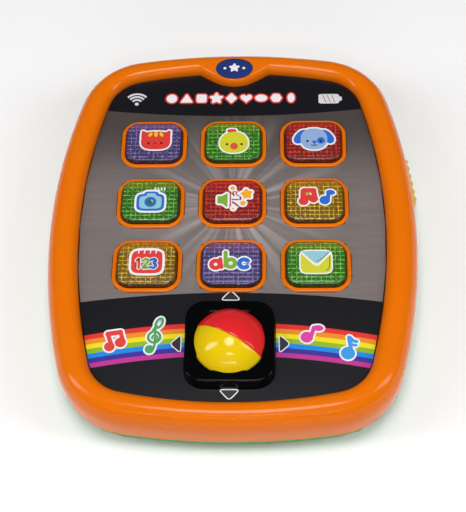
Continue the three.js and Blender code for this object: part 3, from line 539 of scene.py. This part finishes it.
# Each styrene's colours: the lit one of its painted glints, its deep tint, and the warm one of its painted
# glow on the far rows.
TINTS = {
    "purple": prismatic("purple_prismatic_styrene", "9A86D0", "170F2E", "A86C92"),
    "green": prismatic("green_prismatic_styrene", "7CDC4C", "0C2E06", "A8A42C"),
    "red": prismatic("red_prismatic_styrene", "F24C40", "460404", "D8362C"),
    "amber": prismatic("amber_prismatic_styrene", "F0C440", "3E2502", "D08E20"),
}
INKS = {
    name: printed(f"{name}_ink", code)
    for name, code in {
        "white": "E9E8EC",
        "chalk": "D8D4D6",
        "slate": "55525A",
        "rust": "8E2A1C",
        "lemon": "CDCB28",
        "coral": "D2523C",
        "pine": "2C6A3E",
        "straw": "B79C45",
        "red": "D9362F",
        "yellow": "E0C22A",
        "green": "3E9B4F",
        "leaf": "78A832",
        "blue": "2266C8",
        "sky": "8FABD2",
        "aqua": "8DC3D2",
        "orange": "F2A81E",
        "magenta": "D6389A",
        "azure": "2F92DC",
        "dark": "1D1B22",
        "tan": "6E5526",
        "crimson": "A81420",
    }.items()
}
INK_NUMBER = {name: number for number, name in enumerate(INKS)}


# ---------------------------------------------------------------- case


def bullnose(share, fullness):
    """Quarter of a superellipse, upright at its start and level at its end."""
    angle = share * math.pi / 2
    return 1 - np.cos(angle) ** (2 / fullness), np.sin(angle) ** (2 / fullness)


def rim():
    """Carries a bullnose section round two outlines: each point lies a share of the way from the
    outer outline to the screen's edge, and its height follows the same superellipse. Under the
    badge, where the screen's edge stands back, a level stretch parts the outer curve from the
    inner one. The section comes back up inside, a wall's thickness away, so the rim is closed. A
    thin skirt covers the joint with the rear shell, and ramps up clear of the volume knob."""
    outer, inner = barrel(CASE), screen_edge()
    width = np.linalg.norm(inner - outer, axis=1)
    plain_width = np.linalg.norm(barrel(SCREEN) - outer, axis=1)
    outer_share = RIM_CREST * plain_width / width
    drawn_back = 0.17 * (width - plain_width)  # keeps the inner curve as steep where the lobe stands
    inner_share = ((1 - RIM_CREST) * plain_width - drawn_back) / width
    rise_across, rise_up = bullnose(np.linspace(0, 1, 28)[:, None], RIM_FULLNESS)
    shoulder = SEAM_Z + 2
    shares = [
        np.zeros_like(width)[None],
        outer_share * rise_across,
        1 - inner_share * rise_across[-2::-1],
        # the hidden inside: under the panel's edge, along the roof, down the wall and the skirt
        np.array([1.0, 0.9, 0.8, 0.36, 0.14, 0.14, 0.012, 0.012])[:, None] + 0 * width,
    ]
    heights = [
        SEAM_Z - SKIRT,
        *(shoulder + (RIM_Z - shoulder) * rise_up[:, 0]),
        *(PANEL_TOP + (RIM_Z - PANEL_TOP) * rise_up[-2::-1, 0]),
        *(PANEL_TOP - 1.5, PANEL_TOP - 1.5, RIM_Z - 3.4, RIM_Z - 3.6, SEAM_Z + 7),
        *(SEAM_Z, SEAM_Z, SEAM_Z - SKIRT),
    ]
    across = np.concatenate(shares)[:, :, None]
    plan = outer[None] + across * (inner - outer)[None]
    height = np.broadcast_to(np.array(heights)[:, None], plan.shape[:2]).copy()
    beside_knob = np.clip((abs(outer[:, 1] - KNOB_Y) - KNOB_CLEAR) / KNOB_RAMP, 0, 1)
    height[[0, -1]] += np.where(outer[:, 0] > 0, SKIRT * (1 - beside_knob), 0)
    solid = looped(np.concatenate([plan, height[:, :, None]], 2))
    return piece("rim", [solid], [ORANGE], "housing", ["front_shell"])


def key_outline(x, y, grow, steps):
    """The key's rounded rectangle about its place, wider and longer by some millimetres."""
    width, length, radius = KEY_PLAN["width"] + grow, KEY_PLAN["length"] + grow, KEY_PLAN["radius"] + grow / 2
    return rounded_rect(width, length, radius, steps) + [x, y]


def collar(x, y):
    """Ring of rounded rectangles carried round its section: up the outside, over a rounded lip,
    and down the mouth."""

    def ring(grow):
        return key_outline(x, y, grow, 8)

    outer = COLLAR["width"] - KEY_PLAN["width"]
    lip = np.linspace(0, math.pi / 2, 7)
    sections = [(ring(outer), PANEL_TOP - 2)]
    sections += [
        (ring(outer - 1.2 * (1 - math.cos(a))), COLLAR["top"] - 0.5 * (1 - math.sin(a))) for a in lip
    ]
    sections += [(ring(0.9 - 0.55 * math.sin(a)), COLLAR["top"] - 0.3 * (1 - math.cos(a))) for a in lip]
    sections += [(ring(0.32), PANEL_TOP - 1.2), (ring(0.3), PANEL_TOP - 2)]
    return looped(levels(sections))


def badge():
    """Oval dome on the rim's level stretch: its height falls off with the square of the distance
    from its middle. A star and two dots lie on it."""
    x, y = (BADGE_LOW[:2] + BADGE_HIGH[:2]) / 2
    size = (BADGE_HIGH - BADGE_LOW)[:2]

    def on_dome(outline, lift):
        reach = np.hypot(*(2 * outline / size).T)
        return np.column_stack([outline + [x, y], RIM_Z + 0.6 - 0.45 * reach**2 + lift])

    def lifted(outline, low, high):
        shares = np.linspace(1, 0.02, 12)
        middle = outline.mean(0)
        top = np.stack([on_dome(middle + (outline - middle) * share, high) for share in shares])
        return closed(np.concatenate([on_dome(outline, low)[None], top]))

    solids = [(*lifted(oval(*size, power=2.15, count=72), -1.8, 0), 0)]
    solids += [(*lifted(placed(star(2.9)), -0.05, 0.05), 1)]
    solids += [(*lifted(placed(oval(1.5, 1.5), side * 4.9, -0.2), -0.05, 0.05), 1) for side in (-1, 1)]
    return piece("badge_dome", solids, [NAVY, INKS["white"]], "housing", ["badge"])


# ---------------------------------------------------------------- keys


def key_cap(name, x, y, tint):
    """Rounded rectangles of falling size: drafted walls, a quarter-round edge and a flat top."""

    def section(grow, z):
        return key_outline(x, y, grow, 12), z

    edge = np.linspace(0, math.pi / 2, 10)
    sections = [section(0, PANEL_TOP - 2.4), section(-0.1, COLLAR["top"] - 0.6)]
    sections += [
        section(-0.3 - 2.3 * (1 - math.cos(a)), KEY_TOP - 1.4 * (1 - math.sin(a))) for a in edge
    ]
    node = f"key_{name}"
    return piece(f"cap_{name}", [closed(levels(sections))], [TINTS[tint]], node, [node])


def area(ink, outline, x=0.0, y=0.0, turn=0.0):
    """A filled shape of that ink."""
    return dict(ink=ink, outline=placed(outline, x, y, turn))


def line(ink, path, width):
    """A band of that ink along a smooth curve through the points."""
    return dict(ink=ink, path=spline(path), width=width)


def loop_line(ink, width, radius, start, end, x=0.0, y=0.0):
    """A band along an arc of a circle, between two angles in degrees."""
    angle = np.radians(np.linspace(start, end, 28))
    path = np.stack([x + radius * np.cos(angle), y + radius * np.sin(angle)], 1)
    return dict(ink=ink, path=path, width=width)


def edged(shapes, by, ink="white"):
    """The shapes over a grown copy of each, as a die-cut sticker has a border."""
    under = []
    for shape in shapes:
        if "outline" in shape:
            under.append(dict(ink=ink, outline=grown(shape["outline"], by)))
        else:
            under.append(dict(ink=ink, path=shape["path"], width=shape["width"] + 2 * by))
    return under + shapes


def artwork(shapes, x, y, z, step=0.2):
    """Thin layers above z, each thicker than the one before by a share of one layer, so that a later
    shape covers an earlier one."""
    solids = []
    for number, shape in enumerate(shapes):
        high = z + PRINT * (1 + step * number)
        if "outline" in shape:
            solid = sheet_of(shape["outline"] + [x, y], z, high)
        else:
            solid = stroke(shape["path"] + [x, y], shape["width"], z, high)
        solids.append((*solid, INK_NUMBER[shape["ink"]]))
    return solids


def shifted(shapes, x, y):
    """The shapes, moved."""
    keys = ["outline" if "outline" in shape else "path" for shape in shapes]
    return [{**shape, key: shape[key] + [x, y]} for key, shape in zip(keys, shapes)]


def eyes(left, right, y):
    """Two dark dots at the same height."""
    return [area("dark", oval(1.3, 1.3), x, y) for x in (left, right)]


def cat_face():
    """A superellipse head with two rounded triangles for ears, three drops and a small mouth."""
    ears = [
        area("red", polygon([(-6.6, 1.5), (-1.4, 4.4), (-6.3, 7.0)], 1.2)),
        area("red", polygon([(8.2, 1.5), (8.3, 7.0), (3.4, 4.4)], 1.2)),
    ]
    marks = [
        area("yellow", oval(1.7, 3.0), -1.9, 4.2, -28),
        area("yellow", oval(1.8, 3.4), 0.9, 4.5),
        area("yellow", oval(1.7, 3.0), 3.7, 4.2, 28),
    ]
    mouth = line("rust", [(-0.2, -2.7), (0.6, -3.1), (1.4, -2.7)], 0.3)
    face = [*ears, area("red", oval(14.8, 11.0, 2.9), 0.9, 0.6)]
    nose = area("dark", oval(1.1, 0.8), 0.6, -1.1)
    return edged(face, 0.85) + marks + eyes(-2.6, 3.9, -1.1) + [nose, mouth]


def chick_face():
    """An oval head, a little narrower at the top, with a crest and a beak."""
    head = oval(14.0, 12.8, 2.2)
    head[:, 0] *= 1 - 0.012 * head[:, 1]  # a little narrower at the top
    shapes = [area("red", oval(4.6, 2.2, 3.0), -0.8, 6.2), area("lemon", head, 0.3, -0.8)]
    return edged(shapes, 0.8) + eyes(-3.1, 4.2, -2.0) + [area("coral", oval(4.0, 4.2, 1.7), 0.4, -3.2)]


def dog_face():
    """An oval head over two tilted oval ears, with a round patch."""
    head = [
        area("blue", oval(5.4, 9.4, 2.2), -6.1, 2.3, -36),
        area("blue", oval(5.4, 9.4, 2.2), 6.9, 2.3, 36),
        area("sky", oval(13.4, 12.8, 2.3), 0.4, 0.9),
    ]
    mouth = [
        line("dark", [(0.6, -1.4), (0.5, -2.6), (-0.2, -3.2), (-1.0, -2.5)], 0.35),
        line("dark", [(0.5, -2.6), (1.2, -3.2), (2.0, -2.5)], 0.35),
    ]
    patch = area("blue", oval(3.9, 3.9), 3.9, -0.1)
    nose = area("blue", oval(2.3, 1.5), 0.6, -0.9)
    return edged(head, 0.9) + [patch] + eyes(-2.9, 3.7, -0.4) + [nose, *mouth]


def camera():
    """Two rounded boxes inside two larger ones, with a round lens and four strokes of flash."""
    body = [area("blue", oval(13.6, 9.8, 4.5), 0.1, -1.1), area("blue", oval(7.0, 4.4, 4.0), 0.4, 2.9)]
    face = [area("aqua", oval(11.0, 7.4, 4.5), 0.1, -1.1), area("aqua", oval(4.6, 3.0, 4.0), 0.4, 2.6)]
    lens = [
        area("blue", oval(5.8, 5.8), 0.1, -0.9),
        area("pine", oval(3.5, 3.5), 0.1, -0.9),
        area("white", polygon([(0.2, 0.4), (1.5, -1.5), (1.1, 0.1)], 0.2)),
    ]
    flash = [line("white", [(2.6 + 1.4 * i, 5.9), (2.0 + 1.6 * i, 7.0)], 0.7) for i in range(4)]
    return edged(body, 1.1) + face + lens + flash


def loudspeaker():
    """A cone with four strokes of sound, three dots and a star."""
    horn = [(-7.2, -2.0), (-5.0, -2.0), (-2.3, -4.2), (-2.3, 4.0), (-5.0, 2.2), (-7.2, 2.2)]
    dots = [(0.1, 6.7, 2.2), (5.2, -1.9, 2.6), (0.6, -4.8, 1.6)]
    shapes = [
        area("leaf", polygon(horn, 0.5)),
        area("orange", star(3.0, 0.72), 7.0, 3.4, 10),
        *[area("orange", oval(d, d), x, y) for x, y, d in dots],
    ]
    waves = [
        line("crimson", [(-0.1, 3.6), (0.9, 2.4), (0.3, 4.4), (1.6, 4.6)], 0.6),
        line("crimson", [(2.4, 5.0), (1.9, 3.2), (3.0, 2.3)], 0.6),
        line("crimson", [(-0.2, 0.1), (3.0, 0.1)], 0.7),
        line("crimson", [(0.2, -1.4), (1.4, -2.2), (2.7, -3.4)], 0.9),
    ]
    plain = [area("white", oval(4.2, 11.0, 3.0), 1.4, 0.4)]
    return edged(shapes, 1.0) + plain + waves


def beam(ink, path, width):
    """A straight band, for stems and beams."""
    return dict(ink=ink, path=np.array(path, float), width=width)


def beamed_notes():
    """Two heads under a thick beam, which leans to the left."""
    return [
        area("red", oval(4.9, 4.7), -2.5, -2.8),
        area("red", oval(5.1, 4.9), 2.4, -0.7),
        beam("red", [(-3.6, 3.4), (-1.6, -2.0)], 2.0),
        beam("red", [(-3.6, 3.6), (2.2, 4.5)], 2.4),
        beam("red", [(2.2, 4.4), (3.6, 0.2)], 2.0),
    ]


def short_note():
    """One head, a stout stem and a flag like a second, smaller head."""
    return [
        area("magenta", oval(5.7, 5.5), -1.9, -1.9),
        beam("magenta", [(0.3, -0.8), (1.4, 3.0)], 1.9),
        area("magenta", oval(5.0, 3.0), 3.3, 2.7, -4),
    ]


def double_note():
    """One head, a stem that leans to the left and two flags."""
    return [
        area("azure", oval(6.4, 6.2), -0.5, -3.2),
        beam("azure", [(1.0, -2.0), (0.3, 4.6)], 1.9),
        line("azure", [(0.6, 4.7), (2.2, 3.0), (3.6, 2.6)], 1.6),
        line("azure", [(0.8, 1.9), (2.2, 0.9), (3.3, 0.7)], 1.3),
    ]


def notes_sticker():
    """A thick beamed pair of notes beside a single one."""
    notes = [
        area("red", oval(4.8, 4.6), -5.4, -0.9),
        area("red", oval(4.5, 4.4), -0.6, 0.5),
        beam("red", [(-5.5, 4.8), (-5.6, -0.4)], 2.6),
        beam("red", [(-5.3, 5.2), (-0.3, 5.3)], 2.6),
        beam("red", [(-0.5, 5.2), (0.2, 0.8)], 2.6),
        area("red", oval(4.0, 3.6), -3.0, 1.2),
        area("blue", oval(5.0, 4.8), 4.9, -0.4),
        beam("blue", [(6.4, 0.6), (6.9, 4.2)], 2.0),
        area("blue", oval(4.4, 2.8), 7.8, 4.0, -8),
    ]
    return edged(notes, 0.8) + [area("straw", polygon([(-4.4, 4.0), (-3.6, 1.9), (-1.7, 4.2)], 0.3))]


def calendar():
    """A rounded page with four binding strokes and a window with the digits 1, 2 and 3."""
    digits = [
        line("red", [(-4.7, 1.4), (-3.6, 2.2), (-3.6, -2.6)], 1.2),
        line("leaf", [(-1.9, 1.2), (-0.4, 2.2), (0.9, 1.0), (-1.5, -2.4), (1.0, -2.5)], 1.3),
        line(
            "blue",
            [(2.0, 1.7), (3.6, 2.2), (4.5, 1.2), (3.4, 0.0), (4.6, -1.2), (3.6, -2.6), (1.9, -2.2)],
            1.3,
        ),
    ]
    rings = [line("white", [(x, 5.4), (x + 0.3, 6.8)], 0.55) for x in (-4.1, -1.3, 1.5, 4.2)]
    window = area("tan", oval(10.8, 5.8, 6.0), 0.0, -0.2)
    page = area("red", oval(14.8, 12.4, 4.6), 0.1, 0.7)
    return edged([page], 1.2) + [window, *rings] + edged(digits, 0.4)


def letters():
    """Lower-case a, b and c from arcs and stems."""
    strokes = [
        loop_line("red", 2.2, 1.95, 0, 360, -7.3, -0.8),
        beam("red", [(-5.2, 2.1), (-4.5, -2.4)], 1.9),
        loop_line("leaf", 2.1, 2.05, 0, 360, -0.2, -0.2),
        beam("leaf", [(-2.7, 5.6), (-2.6, -1.6)], 1.9),
        loop_line("blue", 2.2, 2.2, 40, 310, 6.1, -0.4),
    ]
    return edged(strokes, 0.8)


def envelope():
    """A rounded page with a triangular flap and folds."""
    back = area("lemon", oval(14.4, 11.8, 5.5), -0.1, 0.4)
    flap = area("aqua", polygon([(-6.9, 6.1), (0.2, -0.6), (6.9, 6.1)], 0.7))
    folds = [
        beam("white", [(-7.0, 5.4), (-0.4, -1.4)], 0.9),
        beam("white", [(7.0, 5.4), (0.8, -1.4)], 0.9),
        beam("white", [(-0.9, -0.9), (1.2, -0.9)], 0.9),
    ]
    shade = [
        line("pine", [(0.3, 0.6), (2.6, 2.0), (5.9, 5.4)], 0.35),
        line("pine", [(6.4, 3.2), (6.2, -1.6), (5.6, -3.4), (4.4, -4.2)], 0.35),
    ]
    return edged([back], 0.7) + [flap, *folds, *shade]


KEYS = {
    "cat": ("purple", cat_face),
    "chick": ("green", chick_face),
    "dog": ("red", dog_face),
    "camera": ("green", camera),
    "sound": ("red", loudspeaker),
    "music": ("amber", notes_sticker),
    "calendar": ("amber", calendar),
    "letters": ("purple", letters),
    "mail": ("green", envelope),
}


def keys():
    """A cap, a collar and a sticker at each key's place, which comes from its CAD node."""
    collars = []
    for name, (tint, draw) in KEYS.items():
        low, high = node_box(f"key_{name}")
        x, y = (low[:2] + high[:2]) / 2
        key_cap(name, x, y, tint)
        collars.append(collar(x, y))
        solids = artwork(draw(), x, y, KEY_TOP)
        piece(f"sticker_{name}", solids, INKS.values(), f"key_{name}", [f"label_{name}"])
    piece("collars", collars, [ORANGE], "housing")


# ---------------------------------------------------------------- printed face


def arrow(x, y, turn):
    """A soft triangle that points away from the ball, a white line round black."""
    triangle = placed(polygon([(-4.7, 0), (4.7, 0), (0, 5.2)], 1.9), x, y, turn)
    return [dict(ink=ink, outline=grown(triangle, by)) for ink, by in (("white", 0.25), ("dark", -0.25))]


def clef():
    """A nearly full circle about a smaller arc, a tall loop above them, and a stem that runs down
    from the loop to a dot."""
    angle = np.linspace(0, 2 * math.pi, 49)
    loop = placed(np.stack([1.35 * np.cos(angle), 2.5 * np.sin(angle)], 1), 2.0, 7.1, -24)
    return [
        loop_line("green", 1.2, 2.75, 110, 425),
        loop_line("green", 0.9, 1.25, -70, 200, 0.3, -0.3),
        dict(ink="green", path=loop, width=1.2),
        line("green", [(-1.0, 2.5), (-0.3, 4.0), (0.9, 5.6)], 1.2),
        line("green", [(0.7, 5.6), (0.3, 2.0), (0.4, -3.0), (-0.1, -6.0)], 1.1),
        area("green", oval(4.2, 4.2), -1.9, -6.1),
    ]


def heart(size):
    """The usual heart curve: the cube of a sine across, a sum of four cosines up."""
    t = np.linspace(0, 2 * math.pi, 48, endpoint=False)
    x = 16 * np.sin(t) ** 3
    y = 13 * np.cos(t) - 5 * np.cos(2 * t) - 2 * np.cos(3 * t) - np.cos(4 * t)
    return np.stack([x, y], 1)[::-1] * size / 34


def header_shapes():
    """A row of plain shapes, white on a red border, between two small symbols."""
    pitch = 7.7
    shapes = [
        oval(5.4, 5.4),
        polygon([(-3.3, -2.6), (3.3, -2.6), (0, 3.1)], 0.8),
        oval(5.2, 5.2, 5.0),
        star(3.6),
        polygon([(0, -3.4), (3.0, 0), (0, 3.4), (-3.0, 0)], 0.6),
        heart(6.4),
        oval(6.2, 4.4),
        polygon([(-3.0, 0), (-1.5, -2.6), (1.5, -2.6), (3.0, 0), (1.5, 2.6), (-1.5, 2.6)], 0.5),
        oval(3.6, 5.8),
    ]
    middle = (len(shapes) - 1) / 2
    row = [area("white", s, (i - middle) * pitch - 1.5, 76.2) for i, s in enumerate(shapes)]
    return edged(row, 0.8, "red")


def signal():
    """Three arcs of a quarter turn over a dot."""
    arcs = [loop_line("chalk", 1.1, r, 46, 134, -50.4, 72.9) for r in (2.7, 4.6, 6.4)]
    return [*arcs, area("chalk", oval(2.0, 2.0), -50.4, 72.9)]


def gauge():
    """A rounded box with a small tip and three slanted marks."""
    case = [
        area("chalk", oval(10.6, 6.0, 8.0), 48.7, 75.4),
        area("chalk", oval(1.8, 2.8, 4.0), 54.5, 75.4),
    ]
    return case + [beam("slate", [(x, 77.6), (x + 1.5, 73.2)], 0.35) for x in (45.6, 47.9, 50.2)]


def face_art():
    """All that is printed on the face apart from its bands: each shape lies on the one before."""
    ball_y = BALL_CENTRE[1]
    shapes = [
        *header_shapes(),
        *signal(),
        *gauge(),
        *arrow(0, ball_y + 23.8, 0),
        *arrow(0, ball_y - 21.0, 180),
        *arrow(-22.4, ball_y + 1.4, 90),
        *arrow(22.4, ball_y + 1.4, -90),
        *edged(shifted(beamed_notes(), -52.6, -62.0), 0.8),
        *edged(shifted(clef(), -34.8, -60.0), 0.8),
        *edged(shifted(short_note(), 36.9, -58.2), 0.8),
        *edged(shifted(double_note(), 53.9, -64.9), 0.8),
    ]
    solids = artwork(shapes, 0, 0, FACE_Z, step=0.04)
    return piece("face_stickers", solids, INKS.values(), "housing")


# ---------------------------------------------------------------- roller ball


def bezel():
    """Starts as a rounded square, goes up its tapered wall and over a quarter-round edge, runs in
    to a circle across the flat top, and turns down into the spherical socket."""
    square = rounded_rect(BEZEL_SIZE, BEZEL_SIZE, 9, 12)
    angle = np.arctan2(square[:, 1], square[:, 0])
    round_unit = np.stack([np.cos(angle), np.sin(angle)], 1)
    centre = BALL_CENTRE[:2]

    def walled(inset):
        return rounded_rect(BEZEL_SIZE - 2 * inset, BEZEL_SIZE - 2 * inset, 9 - inset, 12)

    edge = np.linspace(0, math.pi / 2, 10)
    sections = [(walled(0), PANEL_TOP)]
    sections += [
        (walled(0.2 + 1.3 * (1 - math.cos(a))), BEZEL_TOP - 1.3 * (1 - math.sin(a))) for a in edge
    ]
    hole = math.sqrt(SOCKET_RADIUS**2 - (BEZEL_TOP - BALL_CENTRE[2]) ** 2)
    flat_edge = walled(1.5)
    for share in (0.25, 0.6, 1.0):
        sections.append((flat_edge * (1 - share) + round_unit * (hole + 0.5) * share, BEZEL_TOP))
    sections.append((round_unit * (hole + 0.12), BEZEL_TOP - 0.12))
    for z in np.linspace(BEZEL_TOP - 0.5, BALL_CENTRE[2] + 1.0, 8):
        sections.append((round_unit * math.sqrt(SOCKET_RADIUS**2 - (z - BALL_CENTRE[2]) ** 2), z))
    sections.append((round_unit * (SOCKET_RADIUS - 0.2), PANEL_TOP - 0.4))
    placed_sections = [(outline + centre, z) for outline, z in sections]
    return piece("bezel", [looped(levels(placed_sections))], [BLACK], "housing", ["ball_bezel"])


def ball_half(name, pole, material, node):
    """Spherical cap of a hair under a half turn, from a small bevel at the joint to its pole, and
    back along its inner wall."""
    pole = pole / np.linalg.norm(pole)
    across = np.cross(pole, [0.0, 0.0, 1.0])
    across /= np.linalg.norm(across)
    third = np.cross(pole, across)
    start = 0.06 / BALL_RADIUS
    rise = np.concatenate([[start], np.linspace(start + 0.012, math.pi / 2 - 0.002, 40)])
    reach = np.concatenate([[BALL_RADIUS - 0.16], np.full(40, BALL_RADIUS)])
    inner_rise = np.linspace(math.pi / 2 - 0.002, start, 12)
    rise = np.concatenate([inner_rise, rise])
    reach = np.concatenate([np.full(12, BALL_RADIUS - BALL_WALL), reach])
    turn = np.linspace(0, 2 * math.pi, 96, endpoint=False)
    ring = np.cos(turn)[:, None] * across + np.sin(turn)[:, None] * third
    points = (reach * np.cos(rise))[:, None, None] * ring + (reach * np.sin(rise))[:, None, None] * pole
    return piece(name, [closed(points + BALL_CENTRE)], [material], "ball_shell", [node])


# ---------------------------------------------------------------- CAD nodes that stay

FINISHES = {
    "rear_shell": GREEN,
    "battery_door": GREEN,
    "faceplate": OVERLAY,
    "key_membrane": SILICONE,
    "ball_cradle": SOOT,
    "ball_core": NATURAL,
    "scroll_roller": NATURAL,
    "side_roller": NATURAL,
    "main_board": BOARD,
    "speaker": STEEL,
    "speaker_ring": SOOT,
    "switch_knob": KNOB_YELLOW,
    "slide_switch": STEEL,
    "switch_stem": SOOT,
    "battery_a": CELL,
    "battery_b": CELL,
    "contact_bridge": STEEL,
    "contact_negative": STEEL,
    "contact_positive": STEEL,
    "battery_lead_red": WIRE_RED,
    "battery_lead_black": WIRE_BLACK,
    "speaker_lead": NATURAL,
}


def dress_cad_nodes():
    for name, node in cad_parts.items():
        material = FINISHES.get(name, ZINC if "screw" in name else None)
        if material:
            for number in range(len(node.material_slots)):
                node.material_slots[number].material = material


# ---------------------------------------------------------------- studio


def floor():
    """A pale sweep, level with the tablet's underside."""
    mesh = bpy.data.meshes.new("floor")
    half = 3.0
    low = -0.1 * MM  # a hair of air, so that the floor and the underside don't share a plane
    corners = [(-half, -half, low), (half, -half, low), (half, half, low), (-half, half, low)]
    mesh.from_pydata(corners, [], [(0, 1, 2, 3)])
    paper, _, _ = new_material("white_paper", base_color=colour("F7F7F7"), roughness=0.9)
    mesh.materials.append(paper)
    obj = bpy.data.objects.new("floor", mesh)
    bpy.context.scene.collection.objects.link(obj)


def softbox(name, place, aim, size, watts):
    """An oval area light that faces a point. Lengths in metres."""
    data = bpy.data.lights.new(name, "AREA")
    data.shape = "ELLIPSE"
    data.size, data.size_y = size
    data.energy = watts
    obj = bpy.data.objects.new(name, data)
    obj.location = place
    obj.rotation_euler = (Vector(aim) - Vector(place)).to_track_quat("-Z", "Y").to_euler()
    bpy.context.scene.collection.objects.link(obj)


def studio():
    """Large soft lamps to the sides and overhead light the body colours. Nothing bright hangs
    where the flat face would mirror it. A thin strip in front draws the highlights along the edges,
    and three small spots make the glints on the ball."""
    bpy.context.scene.view_settings.view_transform = "Standard"
    world = bpy.data.worlds.new("studio")
    world.use_nodes = True
    background = world.node_tree.nodes["Background"]
    background.inputs["Color"].default_value = colour("FFFFFF")
    background.inputs["Strength"].default_value = 0.09
    bpy.context.scene.world = world
    softbox("overhead", (0.0, -0.1, 1.2), (0, 0, 0.03), (0.5, 0.5), 7.4)
    softbox("left", (-1.0, -0.2, 0.8), (0, 0, 0.03), (0.3, 0.9), 5.4)
    softbox("right", (1.0, -0.2, 0.8), (0, 0, 0.03), (0.3, 0.9), 5.4)
    softbox("strip", (0.0, -0.95, 0.5), (0, 0, 0.03), (1.2, 0.008), 1.6)
    for number, (x, z) in enumerate([(-0.07, 0.5), (0.0, 0.54), (0.07, 0.5)]):
        softbox(f"spot_{number}", (x, -0.42, z), (0, -0.06, 0.03), (0.012, 0.012), 0.12)


TARGET = np.array([0.7, -17.4, FACE_Z])  # point of the face that the camera looks at
DISTANCE = 532.7  # millimetres from the target
AZIMUTH, ELEVATION, ROLL = 4.10, 60.46, -3.75  # degrees
LENS = 78.75  # focal length, on a sensor 36 wide


def camera_rig():
    """The camera stands off the target along its own view axis: a turn about Z, then a tilt about X,
    then a roll about that axis."""
    data = bpy.data.cameras.new("camera")
    data.sensor_width = 36
    data.lens = LENS
    data.clip_start = 0.01
    obj = bpy.data.objects.new("camera", data)
    swing = Matrix.Rotation(math.radians(AZIMUTH), 3, "Z")
    turn = swing @ Matrix.Rotation(math.radians(90 - ELEVATION), 3, "X")
    obj.location = (Vector(TARGET) + DISTANCE * turn.col[2]) * MM
    obj.rotation_euler = (turn @ Matrix.Rotation(math.radians(ROLL), 3, "Z")).to_euler()
    bpy.context.scene.collection.objects.link(obj)
    bpy.context.scene.camera = obj


camera_rig()
studio()
floor()
rim()
badge()
keys()
face_art()
bezel()
ball_half("ball_red", BALL_POLE, BALL_RED, "ball_half_red")
ball_half("ball_yellow", -BALL_POLE, BALL_YELLOW, "ball_half_yellow")
dress_cad_nodes()
